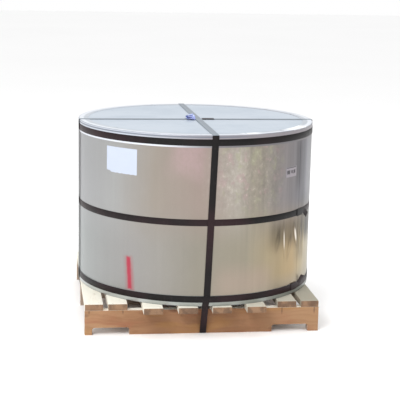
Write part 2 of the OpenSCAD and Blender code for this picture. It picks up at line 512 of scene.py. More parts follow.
def dress(node: str, material: bpy.types.Material) -> None:
    """Gives a CAD node a material.

    Args:
        node: The CAD node.
        material: Its material.
    """
    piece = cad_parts[node]
    for slot in piece.material_slots:
        slot.material = material
    LOG.info("%s: dressed in %s", node, material.name)


def corner(node: str, high: bool) -> Vector:
    """Lowest or highest corner of a CAD node."""
    return Vector(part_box(node)[1 if high else 0])


def around(radius: float, angle: float, z: float) -> Point:
    """Point at a radius, an angle in degrees from +X and a height."""
    turn = math.radians(angle)
    return radius * math.cos(turn), radius * math.sin(turn), z


def bell(value: float, middle: float, half_width: float) -> float:
    """Smooth hump that is 1 at its middle and near 0 two half widths away."""
    return math.exp(-(((value - middle) / half_width) ** 2))


def quarter(steps: int) -> list[float]:
    """Angles of a quarter turn in equal steps, in radians."""
    return [math.pi / 2 * step / steps for step in range(steps + 1)]


def ring_faces(rings: int, count: int) -> list[Face]:
    """Joins rings of points by faces, with each ring and the row of rings closed on themselves.

    Args:
        rings: Number of rings.
        count: Points in a ring.

    Returns:
        The faces, as the numbers of their points.
    """
    faces: list[Face] = []
    for ring in range(rings):
        here, above = ring * count, (ring + 1) % rings * count
        for at in range(count):
            beside = (at + 1) % count
            faces.append((here + at, here + beside, above + beside, above + at))
    return faces


def direction(node: str) -> float:
    """Direction of a CAD node's middle from the coil's axis, in degrees from +X."""
    middle = corner(node, False) + corner(node, True)
    return math.atan2(middle.y, middle.x) * DEGREES


# ----------------------------------------------------------
# Finishes
# ----------------------------------------------------------


@dataclass(frozen=True)
class Zone:
    """A soft edged patch of painted reflection and shade on the sheet, darker or paler than what lies round
    it.

    Attributes:
        turn: The directions that it lies between, in degrees.
        tall: The heights that it lies between, as shares of the sheet's height.
        change: What it adds to the sheet's grey level.
        side_edge: Half the width of its soft edges at the sides, in degrees.
        level_edge: Half the height of its soft edges above and below, as a share.
        sway: How strongly slow noise moves it sideways, in degrees.
        heave: How strongly slow noise moves it up and down, as a share.
    """

    turn: tuple[float, float]
    tall: tuple[float, float]
    change: float
    side_edge: float
    level_edge: float = 0.05
    sway: float = 0.0
    heave: float = 0.0

    def mask(self, on: "SheetPatterns") -> Value:
        """Mask of the zone on a sheet.

        Args:
            on: The sheet's patterns.

        Returns:
            A value that is 1 inside the zone.
        """
        turn = on.turn + on.drift * self.sway if self.sway else on.turn
        tall = on.tall + on.drift * self.heave if self.heave else on.tall
        return turn.within(*self.turn, self.side_edge) * tall.within(*self.tall, self.level_edge)


@dataclass(frozen=True)
class SheetPatterns:
    """The coordinates and noises that the galvanised sheet's colour, gloss and relief share.

    Attributes:
        turn: Direction about the axis, in degrees.
        tall: Height, as a share of the sheet's height.
        drift: Slow noise round 0.
        streaks: Upright streaks.
        fine: Narrow upright streaks.
        mottle: Small blotches round 0.
        grain: Spangle of the zinc.
        rough_patch: Mask of the scuffed part beside the front strap.
        crest: How far the sheet's creases stand off.
    """

    turn: Value
    tall: Value
    drift: Value
    streaks: Value
    fine: Value
    mottle: Value
    grain: Value
    rough_patch: Value
    crest: Value


@dataclass(frozen=True)
class GalvanisedSheet:
    """Smooth galvanised sheet round the coil, with soft streaks, spangle and a red paint stroke, and with
    painted reflections, highlights and shade in its colour.

    Attributes:
        low: Height of its lower edge.
        high: Height of its upper edge.
        seam: Direction of its seam, in degrees.
        roughness: Its mean roughness.
    """

    low: float
    high: float
    seam: float
    roughness: float = 0.34

    def material(self) -> bpy.types.Material:
        """Builds the material.

        Returns:
            The material.
        """
        sheet = Surface("galvanised_sheet")
        on = self._patterns(sheet)
        colour = sheet.shaded(self._tinted(sheet, on), self._grey(sheet, on))
        red = self._paint(sheet, on.turn)
        colour = sheet.blend(colour, srgb(160, 28, 56), red)
        waves = sheet.noise(sheet.mapped((2.2, 2.2, 0.9)), 2.0, 2.0)
        relief = waves * 0.8 + on.streaks * 0.16 + on.fine * 0.03 + on.grain * 0.004
        return sheet.finish(
            Base_Color=colour,
            Metallic=0.80 * (1.0 - red),
            Roughness=self.roughness + 0.10 * on.streaks + 0.10 * on.mottle + 0.2 * red,
            Normal=sheet.bump(relief + on.mottle * on.rough_patch * 0.03, 0.004, 0.5),
        )

    def _patterns(self, sheet: Surface) -> SheetPatterns:
        """Makes the patterns that colour, gloss and relief share.

        Args:
            sheet: The material's tree.

        Returns:
            The patterns.
        """
        _, _, z = sheet.axes(sheet.place)
        turn, tall = sheet.turn(), (z - self.low) / (self.high - self.low)
        return SheetPatterns(
            turn=turn,
            tall=tall,
            drift=sheet.noise(sheet.mapped((1.6, 1.6, 1.0)), 2.0, 3.0) - 0.5,
            streaks=sheet.noise(sheet.mapped((9.0, 9.0, 0.5)), 2.2, 4.0, 0.6),
            fine=sheet.noise(sheet.mapped((46.0, 46.0, 1.3)), 1.0, 3.0),
            mottle=sheet.noise(sheet.mapped((58.0, 58.0, 44.0)), 1.0, 5.0, 0.7) - 0.5,
            grain=sheet.cells(sheet.mapped((230.0, 230.0, 170.0))),
            rough_patch=turn.within(-88.0, -54.0, 8.0) * tall.ramp(0.42, 0.7),
            crest=sheet.node("ShaderNodeAttribute", {"attribute_name": "crest"}, None, "Fac"),
        )

    def _tinted(self, sheet: Surface, on: SheetPatterns) -> Value:
        """Colour of the sheet before its grey levels, with painted reflections in its tones and painted
        highlights on its creases.

        Args:
            sheet: The material's tree.
            on: The sheet's patterns.

        Returns:
            The colour.
        """
        # The tones round the turn are painted reflections of the surroundings.
        share = (on.turn + on.drift * 9.0 + 180.0) / 180.0
        upper = sheet.gradient(share, self._upper_tones())
        lower = sheet.gradient(share, self._lower_tones())
        colour = sheet.blend(lower, upper, (on.tall + on.drift * 0.15).ramp(0.30, 0.62))
        # Painted reflection: the warm tone turns beige near the foot on the right.
        pale_foot = on.turn.within(-70.0, -20.0, 8.0) * on.tall.ramp(0.17, 0.05)
        colour = sheet.blend(colour, srgb(156, 148, 136), pale_foot * 0.6)
        # Painted highlight on the creases' crests.
        colour = sheet.blend(colour, srgb(206, 200, 194), on.crest.ramp(0.5, 1.0) * 0.8)
        # Painted reflection: a pink band left of the front strap, high up.
        left_of_strap = (on.turn + on.drift * 20.0).within(-107.0, -91.0, 5.0)
        pink = left_of_strap * (on.tall + on.drift * 0.3).ramp(0.70, 0.86)
        colour = sheet.blend(colour, srgb(170, 148, 147), pink * (0.75 + on.mottle))
        tint = sheet.noise(sheet.mapped((21.0, 21.0, 16.0), (4.0, 1.0, 7.0)), 1.0, 3.0)
        colour = sheet.blend(colour, srgb(178, 146, 150), tint.ramp(0.54, 0.66) * on.rough_patch * 0.35)
        colour = sheet.blend(colour, srgb(160, 162, 132), tint.ramp(0.46, 0.34) * on.rough_patch * 0.35)
        # Painted reflection: a rosy tone low on the front.
        rosy = Zone((-86.0, -58.0), (0.07, 0.22), 0.0, 7.0, 0.06, sway=20.0, heave=0.2)
        return sheet.blend(colour, srgb(166, 148, 136), rosy.mask(on) * 0.55)

    def _grey(self, sheet: Surface, on: SheetPatterns) -> Value:
        """Grey level that the sheet's colour is multiplied by, with painted reflections, glints and shade.

        Args:
            sheet: The material's tree.
            on: The sheet's patterns.

        Returns:
            The level, about 1.
        """
        # Upright streaks: real streaks and painted reflection bands, stronger on the right.
        right = on.turn.within(-74.0, 20.0, 12.0) * (0.30 + 0.70 * on.tall.ramp(0.22, 0.42))
        blotch = sheet.noise(sheet.mapped((13.0, 13.0, 9.0)), 1.0, 3.0) - 0.5
        grey = 0.98 + (on.streaks - 0.5) * (0.12 + 0.55 * right) + (on.fine - 0.5) * (0.05 + 0.12 * right)
        grey = grey + on.mottle * (0.05 + 0.70 * on.rough_patch) + (on.grain - 0.4) * 0.035
        # Painted glints in the scuffed patch.
        grey = grey + 0.30 * on.mottle.ramp(0.10, 0.20) * on.rough_patch
        grey = grey + blotch * (0.06 + 0.22 * on.rough_patch)
        # Zones of painted reflection and shade.
        for zone in self._zones():
            grey = grey + zone.change * zone.mask(on)
        grey = grey - 0.26 * on.turn.within(self.seam - 0.10, self.seam + 0.16, 0.05)
        grey = grey - 0.10 * on.tall.ramp(0.045, 0.0) - 0.10 * on.tall.ramp(0.93, 0.96)
        # Painted shade beside the creases' crests and painted highlight on them.
        return grey - 0.14 * on.crest.within(0.10, 0.32, 0.1) + 0.80 * on.crest.ramp(0.45, 1.0)

    @staticmethod
    def _zones() -> tuple[Zone, ...]:
        """Darker and paler zones of painted reflection and shade: first those above the middle band, then
        those below it.

        Returns:
            The zones.
        """
        return (
            Zone((-40.5, -35.0), (0.66, 0.95), -0.30, side_edge=1.6, level_edge=0.08),
            Zone((-36.0, -14.0), (0.47, 0.60), -0.16, side_edge=3.0),
            Zone((-80.0, -66.0), (0.72, 0.90), 0.07, side_edge=4.0),
            Zone((-29.0, -23.0), (0.55, 0.97), 0.24, side_edge=1.8, level_edge=0.08),
            Zone((-58.0, -14.0), (0.32, 0.47), -0.44, side_edge=6.0, level_edge=0.055, sway=8.0, heave=0.1),
            Zone((-28.0, -14.0), (0.31, 0.49), -0.34, side_edge=2.5),
            Zone((-37.0, -28.0), (0.38, 0.49), -0.10, side_edge=3.0),
            Zone((-39.0, -30.0), (0.20, 0.31), -0.24, side_edge=3.5, level_edge=0.045),
            Zone((-32.6, -31.8), (0.28, 0.49), -0.30, side_edge=0.4),
        )

    @staticmethod
    def _upper_tones() -> list[tuple[float, Colour]]:
        """Tones of painted reflection on the upper part, from the left end of the front half turn to its
        right end.

        Returns:
            Pairs of a share of the half turn and a colour.
        """
        return [
            (0.00, srgb(158, 159, 162)),
            (0.24, srgb(161, 161, 160)),
            (0.36, srgb(147, 139, 130)),
            (0.48, srgb(151, 137, 129)),
            (0.57, srgb(168, 161, 152)),
            (0.62, srgb(146, 139, 127)),
            (0.72, srgb(136, 131, 131)),
            (0.82, srgb(114, 113, 118)),
            (1.00, srgb(158, 159, 162)),
        ]

    @staticmethod
    def _lower_tones() -> list[tuple[float, Colour]]:
        """Tones of the lower part, in the same order; warm light lies on its right.

        Returns:
            Pairs of a share of the half turn and a colour.
        """
        return [
            (0.00, srgb(153, 158, 158)),
            (0.30, srgb(149, 147, 145)),
            (0.46, srgb(140, 135, 124)),
            (0.60, srgb(150, 143, 127)),
            (0.68, srgb(160, 146, 119)),
            (0.77, srgb(174, 152, 116)),
            (0.84, srgb(178, 165, 136)),
            (1.00, srgb(153, 158, 158)),
        ]

    @staticmethod
    def _paint(sheet: Surface, turn: Value) -> Value:
        """Mask of the red paint stroke, with its soft edges and the spray beside it.

        Args:
            sheet: The material's tree.
            turn: Direction about the axis, in degrees.

        Returns:
            A value that is 1 on the paint.
        """
        middle, half_width, lean = -128.2, 1.25, 6.0
        foot, top = 0.209, 0.372
        _, _, z = sheet.axes(sheet.place)
        edge = sheet.noise(sheet.mapped((90.0, 90.0, 40.0)), 1.0, 3.0) - 0.5
        side = abs(turn - middle + (z - foot) * lean + edge * 0.6)
        across = side.ramp(half_width + 0.85, half_width - 0.75)
        body = across * (z + edge * 0.012).within(foot, top, 0.007)
        spray = 0.55 + 0.45 * (turn - middle).ramp(-0.5, 1.0) * z.ramp(top, top - 0.09)
        spread = side.ramp(half_width + 2.1, half_width + 0.3)
        haze = spread * (z + edge * 0.02).within(foot - 0.010, top + 0.004, 0.009) * spray
        thin = sheet.noise(sheet.mapped((60.0, 60.0, 8.0)), 1.0, 4.0).ramp(0.34, 0.5)
        return (body * (0.82 + 0.14 * thin)).maths("MAXIMUM", haze * 0.42)


@dataclass(frozen=True)
class ZincSheet:
    """Pale zinc coated sheet of the covers and the edge rings.

    Attributes:
        name: The material's name.
        colour: Its clean colour.
        shade: Its darker colour.
        upright: Colour of its upright faces on the left, painted lit.
        shaded_upright: Colour of its upright faces on the right, painted in shade.
        metallic: How metallic it is.
        roughness: Its mean roughness.
        rim: Outer radius of its upright leg, if it has one.
        leg: Heights of the leg's free edge and of the bend above it, if they show.
    """

    name: str
    colour: Colour
    shade: Colour
    upright: Colour
    shaded_upright: Colour
    metallic: float
    roughness: float
    rim: float = 0.0
    leg: tuple[float, float] | None = None

    def material(self) -> bpy.types.Material:
        """Builds the material.

        Returns:
            The material.
        """
        sheet = Surface(self.name)
        cloud = sheet.noise(sheet.mapped((2.4, 3.0, 3.0)), 1.5, 4.0)
        rolled = sheet.noise(sheet.mapped((60.0, 1.2, 8.0)), 2.0, 3.0)
        spots = sheet.noise(sheet.mapped((30.0, 30.0, 30.0)), 1.0, 4.0).ramp(0.66, 0.8)
        colour = sheet.blend(self.colour, self.shade, cloud.ramp(0.35, 0.75) * 0.55 + rolled * 0.18)
        colour = sheet.blend(colour, self.shade, spots * 0.5)
        _, _, up = sheet.axes(sheet.normal)
        flat = abs(up).ramp(0.25, 0.7)
        colour = sheet.blend(self._side_colour(sheet, cloud), colour, flat)
        if self.rim:
            colour = self._rim_colour(sheet, colour, cloud, flat)
        return sheet.finish(
            Base_Color=colour,
            Metallic=self.metallic,
            Roughness=self.roughness + 0.14 * cloud + 0.12 * spots,
            Normal=sheet.bump(cloud * 1.0 + rolled * 0.05, 0.003, 0.4),
        )

    def _side_colour(self, sheet: Surface, cloud: Value) -> Value:
        """Colour of the upright faces, painted lit on the left and shaded on the right, with a painted
        highlight on the leg's free edge at the left, painted shade on it at the right and a painted shade
        line below its bend.

        Args:
            sheet: The material's tree.
            cloud: Slow noise.

        Returns:
            The colour.
        """
        x, _, z = sheet.axes(sheet.place)
        # Upright faces painted lit on the left and shaded on the right.
        side = sheet.blend(self.upright, self.shaded_upright, x.ramp(-0.45, 0.05))
        if self.leg:
            free_edge, bend = self.leg
            # Painted highlight on the leg's free edge at the left and painted shade on it at the right.
            near_end = abs(z - free_edge).ramp(0.0100, 0.0088)
            side = sheet.blend(side, srgb(226, 229, 236), near_end * x.ramp(0.05, -0.25) * 0.8)
            side = sheet.blend(side, srgb(108, 103, 103), near_end * x.ramp(-0.25, 0.15) * 0.9)
            # Painted shade line below the bend.
            below_bend = (z - bend).within(-0.0135, -0.0060, 0.0012)
            side = sheet.blend(side, srgb(104, 108, 120), below_bend * x.ramp(0.30, 0.05) * 0.8)
        return sheet.blend(side, self.shade, cloud * 0.2)

    def _rim_colour(self, sheet: Surface, colour: Value, cloud: Value, flat: Value) -> Value:
        """Adds the painted glare, the painted highlight on the flange and the painted shade of the outline to
        a ring's flat face.

        Args:
            sheet: The material's tree.
            colour: The colour so far.
            cloud: Slow noise.
            flat: Mask of the flat faces.

        Returns:
            The colour with them.
        """
        turn = sheet.turn()
        # Painted glare.
        glare = turn.within(-74.0, -65.0, 3.0).maths("MAXIMUM", turn.within(-46.0, -27.0, 4.0))
        colour = sheet.blend(colour, srgb(246, 248, 250), glare * flat * cloud.ramp(0.28, 0.45) * 0.95)
        x, y, _ = sheet.axes(sheet.place)
        radius = sheet.length(sheet.vector(x, y, 0.0))
        # Painted highlight on the flange near its rim.
        bright = radius.within(self.rim - 0.0260, self.rim - 0.0040, 0.0030) * flat
        colour = sheet.blend(colour, srgb(232, 236, 243), bright * (0.45 + 0.5 * cloud))
        # Painted shade along the outer edge.
        outline = radius.ramp(self.rim - 0.0040, self.rim - 0.0020) * flat
        return sheet.blend(colour, srgb(104, 110, 120), outline * 0.7)


@dataclass(frozen=True)
class StrapSteel:
    """Black painted and waxed strap steel, rubbed at places, with a painted sheen where it runs over the
    coil's top.

    Attributes:
        colour: Its black.
        brown: Its tint in patches.
        rubbed: Its colour where the paint is thin.
        pale: Its colour where the painted sheen lies, on its run over the coil's top.
        pale_above: Height above which the painted sheen lies, as on the coil's top.
    """

    colour: Colour = srgb(19, 17, 17)
    brown: Colour = srgb(50, 28, 33)
    rubbed: Colour = srgb(70, 63, 63)
    pale: Colour = srgb(138, 147, 156)
    pale_above: float = 10.0

    def material(self, name: str) -> bpy.types.Material:
        """Builds the material.

        Args:
            name: The material's name.

        Returns:
            The material.
        """
        strap = Surface(name)
        _, _, z = strap.axes(strap.place)
        wear = strap.noise(strap.mapped((24.0, 24.0, 24.0)), 2.0, 5.0, 0.7)
        scratch = strap.noise(strap.mapped((160.0, 160.0, 12.0)), 1.0, 2.0)
        patches = strap.noise(strap.mapped((3.0, 3.0, 3.0)), 1.0, 2.0).ramp(0.4, 0.7)
        colour = strap.blend(self.colour, self.brown, patches * 0.65)
        colour = strap.blend(colour, self.rubbed, wear.ramp(0.55, 0.8) * 0.35 + scratch.ramp(0.62, 0.8) * 0.2)
        # Painted sheen on the strap's run over the coil's top.
        on_top = z.ramp(self.pale_above - 0.0015, self.pale_above + 0.0005)
        colour = strap.blend(colour, self.pale, on_top * (0.70 + 0.25 * wear))
        return strap.finish(
            Base_Color=colour,
            Metallic=0.15,
            Specular_IOR_Level=0.22,
            Roughness=0.34 + 0.22 * wear,
            Normal=strap.bump(wear * 0.6 + scratch * 0.4, 0.0006, 0.5),
        )


@dataclass(frozen=True)
class Paper:
    """Plain printed paper: bare, with a few faint rules or blots.

    Attributes:
        name: The material's name.
        colour: Its ground colour.
        marked: Direction in degrees and height of its middle, if it has a rule and a row of blots.
    """

    name: str
    colour: Colour
    marked: tuple[float, float] | None = None

    def material(self) -> bpy.types.Material:
        """Builds the material.

        Returns:
            The material.
        """
        paper = Surface(self.name)
        crease = paper.noise(paper.mapped((14.0, 14.0, 9.0)), 1.0, 4.0)
        fibre = paper.noise(paper.mapped((220.0, 220.0, 220.0)), 1.0, 2.0)
        colour = paper.shaded(self.colour, 0.93 + 0.1 * crease + 0.03 * fibre)
        if self.marked:
            colour = paper.blend(colour, srgb(46, 40, 46), self._marks(paper, *self.marked) * 0.85)
        return paper.finish(
            Base_Color=colour,
            Roughness=0.42 + 0.2 * crease,
            Normal=paper.bump(crease + fibre * 0.1, 0.0012, 0.5),
        )

    @staticmethod
    def _marks(paper: Surface, angle: float, height: float) -> Value:
        """Mask of an outline, a rule along the label's upper edge and three blots in a row.

        Args:
            paper: The material's tree.
            angle: Direction of the label's middle, in degrees.
            height: Height of the label's middle.

        Returns:
            A value that is 1 on the marks.
        """
        _, _, z = paper.axes(paper.place)
        turn, up = paper.turn() - angle, z - height
        ragged = paper.noise(paper.mapped((160.0, 160.0, 160.0)), 1.0, 3.0) - 0.5
        inside = turn.within(-4.25, 4.25, 0.12) * up.within(-0.0248, 0.0248, 0.0006)
        rule = up.within(0.0195, 0.0232, 0.0008) * turn.within(-3.9, 3.9, 0.2)
        marks = rule.maths("MAXIMUM", (1.0 - inside) * 0.5)
        blots = ((-2.4, 1.15, 0.0095), (0.3, 0.70, 0.0075), (2.4, 0.90, 0.0090))
        for middle, half_width, half_height in blots:
            wide = (turn + ragged * 1.4).within(middle - half_width, middle + half_width, 0.2)
            tall = (up + ragged * 0.012).within(-half_height, half_height, 0.001)
            marks = marks.maths("MAXIMUM", wide * tall)
        return marks


@dataclass(frozen=True)
class TieFilm:
    """Thin blue plastic tape.

    Attributes:
        colour: Its blue.
        pale: Its colour on folds that catch the light.
        deep: Its colour in folds.
    """

    colour: Colour = srgb(142, 154, 208)
    pale: Colour = srgb(186, 198, 228)
    deep: Colour = srgb(98, 106, 182)

    def material(self) -> bpy.types.Material:
        """Builds the material.

        Returns:
            The material.
        """
        film = Surface("tie_film")
        folds = film.noise(film.mapped((90.0, 90.0, 90.0)), 1.0, 3.0)
        colour = film.blend(self.colour, self.pale, folds.ramp(0.48, 0.66))
        colour = film.blend(colour, self.deep, folds.ramp(0.48, 0.38) * 0.8)
        return film.finish(
            Base_Color=colour,
            Roughness=0.22 + 0.3 * folds,
            Normal=film.bump(folds, 0.002, 0.6),
        )


class Grain(Enum):
    """Direction in which a timber's grain runs."""

    ALONG_X = "x"
    ALONG_Y = "y"


@dataclass(frozen=True)
class Pine:
    """Rough sawn softwood with growth rings, knots, nail streaks, weather-bleached tops that also carry
    painted light, and painted light on the faces towards the left.

    Attributes:
        name: The material's name.
        grain: Direction of the grain.
        seed: Shifts the pattern, so that no two timbers match.
        tan: Its light colour.
        brown: Its dark colour.
        weathered_and_lit: Colour of its upper face, weather-bleached and painted lit; boards also take it as
            painted light on their faces towards the left.
        dark_middle: Half the length of a darker middle part, or 0.
        nails: Places along the timber of dark streaks below its nails.
        deck: Height that the streaks start from.
    """

    name: str
    grain: Grain
    seed: float
    tan: Colour = srgb(186, 154, 122)
    brown: Colour = srgb(120, 84, 56)
    weathered_and_lit: Colour = srgb(236, 232, 220)
    dark_middle: float = 0.0
    nails: tuple[float, ...] = ()
    deck: float = 0.0

    def material(self) -> bpy.types.Material:
        """Builds the material.

        Returns:
            The material.
        """
        wood = Surface(self.name)
        x, y, z = wood.axes(wood.place)
        nx, ny, up = wood.axes(wood.normal)
        along, across, end = (x, y, abs(nx)) if self.grain is Grain.ALONG_X else (y, x, abs(ny))
        timber = wood.vector(along, across, z)
        slow = wood.mapped((1.1, 5.0, 5.0), (self.seed, self.seed * 2.3, 0.7 * self.seed), timber)
        bend = wood.noise(slow, 1.6, 2.0) - 0.5
        knots = self._knots(wood, timber)
        late = self._rings(wood, across, z, bend, knots)
        fibre = wood.noise(wood.mapped((7.0, 260.0, 260.0), vector=timber), 1.0, 3.0)
        stain = wood.noise(wood.mapped((2.6, 9.0, 9.0), (self.seed * 1.7, 0.0, 3.0), timber), 1.5, 5.0, 0.6)
        grime = wood.noise(wood.mapped((14.0, 20.0, 20.0), (self.seed, 2.0, 0.0), timber), 1.0, 5.0, 0.65)
        colour = wood.blend(self.tan, self.brown, late * 0.20 + fibre * 0.16)
        colour = wood.blend(colour, self.brown, stain.ramp(0.44, 0.78) * 0.60)
        colour = wood.blend(colour, srgb(96, 70, 52), grime.ramp(0.56, 0.80) * 0.35)
        colour = wood.blend(colour, srgb(84, 54, 38), knots * 0.8)
        dark_end = late * 0.5 + grime.ramp(0.42, 0.60) * 0.7
        end_grain = wood.blend(srgb(136, 104, 78), srgb(66, 44, 34), dark_end)
        colour = wood.blend(colour, end_grain, end.ramp(0.6, 0.9) * 0.80)
        # Painted light on the faces towards the left.
        lit = srgb(206, 194, 180) if self.grain is Grain.ALONG_X else self.weathered_and_lit
        colour = wood.blend(colour, lit, nx.ramp(-0.6, -0.9) * 0.80)
        if self.dark_middle:
            colour = self._darker_middle_and_right(wood, colour, timber, along, bend)
        for place in self.nails:
            colour = self._streak(wood, colour, along + bend * 0.006, z, place)
        # Upper faces: weather-bleached wood, also painted lit.
        bleached = wood.blend(self.weathered_and_lit, self.tan, late * 0.18 + stain.ramp(0.55, 0.85) * 0.35)
        bleached = wood.blend(bleached, srgb(150, 136, 112), knots * 0.6 + grime.ramp(0.60, 0.80) * 0.45)
        colour = wood.blend(colour, bleached, up.ramp(0.5, 0.85) * 0.94)
        saw_marks = ((along * 900.0) + fibre * 3.0).maths("SINE") * 0.5 + 0.5
        relief = late * 0.35 + fibre * 0.6 + saw_marks * 0.10 + knots * 0.5 + grime * 0.4
        return wood.finish(
            Base_Color=colour,
            Roughness=0.74 + 0.14 * fibre - 0.12 * knots,
            Normal=wood.bump(relief, 0.0012, 0.6),
        )

    def _darker_middle_and_right(self, wood: Surface, colour: Value, timber: Value, along: Value, bend: Value) -> Value:
        """Adds the darker middle part of a timber, painted shade towards its right end and its uneven tones.

        Args:
            wood: The material's tree.
            colour: The timber's colour.
            timber: Coordinates along, across and up.
            along: Coordinate along the timber.
            bend: Slow noise.

        Returns:
            The timber's colour with them.
        """
        darker_middle = (abs(along) + bend * 0.25).ramp(self.dark_middle + 0.16, self.dark_middle - 0.12)
        colour = wood.blend(colour, srgb(112, 68, 40), darker_middle * 0.50)
        # Painted shade towards the timber's right end.
        colour = wood.blend(colour, srgb(140, 108, 78), along.ramp(0.0, 0.5) * 0.35)
        patch = wood.noise(wood.mapped((3.2, 3.0, 12.0), (self.seed, 0.0, 5.0), timber), 1.0, 2.0)
        colour = wood.blend(colour, srgb(146, 84, 62), patch.ramp(0.52, 0.68) * 0.40)
        return wood.blend(colour, srgb(160, 118, 66), patch.ramp(0.46, 0.32) * 0.40)

    def _rings(self, wood: Surface, across: Value, z: Value, bend: Value, knots: Value) -> Value:
        """Mask of the dark late wood.

        Args:
            wood: The material's tree.
            across: Coordinate across the timber.
            z: Height.
            bend: Slow noise that bends the grain.
            knots: Mask of the knots.

        Returns:
            A value that is 1 on late wood.
        """
        pith_across = 0.06 * math.sin(self.seed * 5.1)
        pith_down = 0.02 - 0.05 * abs(math.cos(self.seed * 3.7))
        reach = wood.vector(across - pith_across + bend * 0.05, z - pith_down + bend * 0.03, 0.0)
        ring = ((wood.length(reach) + knots * 0.01) * 190.0).maths("FRACT")
        return ring.ramp(0.35, 0.95) * ring.ramp(1.0, 0.96)

    def _streak(self, wood: Surface, colour: Value, along: Value, z: Value, place: float) -> Value:
        """Adds the dark streak below one nail.

        Args:
            wood: The material's tree.
            colour: The timber's colour.
            along: Coordinate along the timber.
            z: Height.
            place: The nail's place along the timber.

        Returns:
            The timber's colour with the streak.
        """
        length = 0.030 + 0.012 * math.sin(place * 37.0)
        side = abs(along - place).ramp(0.0046, 0.0012)
        down = z.ramp(self.deck - length, self.deck - 0.4 * length)
        return wood.blend(colour, srgb(66, 44, 34), side * down * 0.6)

    def _knots(self, wood: Surface, timber: Value) -> Value:
        """Mask of the knots.

        Args:
            wood: The material's tree.
            timber: Coordinates along, across and up.

        Returns:
            A value that is 1 on a knot.
        """
        shift = (self.seed * 0.37, self.seed * 0.91, self.seed * 0.53)
        cells = wood.cells(wood.mapped((4.2, 11.0, 9.0), shift, timber))
        ragged = wood.noise(wood.mapped((40.0, 60.0, 60.0), vector=timber), 1.0, 3.0) - 0.5
        return (cells + ragged * 0.06).ramp(0.13, 0.04)


@dataclass(frozen=True)
class CoilEdge:
    """Edges of the wound strip, ring within ring.

    Attributes:
        pitch: Distance from one visible turn to the next.
    """

    pitch: float = 0.0028

    def material(self) -> bpy.types.Material:
        """Builds the material.

        Returns:
            The material.
        """
        steel = Surface("coil_steel")
        x, y, _ = steel.axes(steel.place)
        radius = steel.length(steel.vector(x, y, 0.0))
        wander = steel.noise(steel.mapped((5.0, 5.0, 5.0)), 1.0, 2.0)
        turns = ((radius / self.pitch) + wander * 2.0).maths("FRACT")
        oil = steel.noise(steel.mapped((14.0, 14.0, 14.0)), 1.0, 3.0)
        colour = steel.blend(srgb(142, 144, 148), srgb(78, 80, 84), turns.ramp(0.3, 0.9) * 0.6 + oil * 0.3)
        return steel.finish(
            Base_Color=colour,
            Metallic=0.9,
            Roughness=0.32 + 0.2 * oil,
            Normal=steel.bump(turns, 0.0006, 0.6),
        )


@dataclass(frozen=True)
class NailSteel:
    """Dull steel of the nail heads, with a little rust."""

    def material(self) -> bpy.types.Material:
        """Builds the material.

        Returns:
            The material.
        """
        nail = Surface("nail_steel")
        rust = nail.noise(nail.mapped((300.0, 300.0, 300.0)), 1.0, 3.0)
        colour = nail.blend(srgb(96, 92, 90), srgb(122, 74, 48), rust.ramp(0.4, 0.7))
        return nail.finish(
            Base_Color=colour,
            Metallic=0.6,
            Roughness=0.4 + 0.3 * rust,
            Normal=nail.bump(rust, 0.0004, 0.5),
        )


# ----------------------------------------------------------
# Coil and its sheet packing
# ----------------------------------------------------------


@dataclass(frozen=True)
class Ridge:
    """A crease that stands off the sheet.

    Attributes:
        angle: Direction of its middle, in degrees.
        half_width: Half its width, in degrees.
        height: Height of its middle.
        reach: Half its length.
        stand_off: How far it stands off.
        slant: Its lean, in degrees of direction per metre of height.
    """

    angle: float
    half_width: float
    height: float
    reach: float
    stand_off: float
    slant: float = 0.0

    def at(self, angle: float, z: float) -> float:
        """How far the sheet stands off in a direction and at a height."""
        middle = self.angle + self.slant * (z - self.height)
        return self.stand_off * bell(angle, middle, self.half_width) * bell(z, self.height, self.reach)


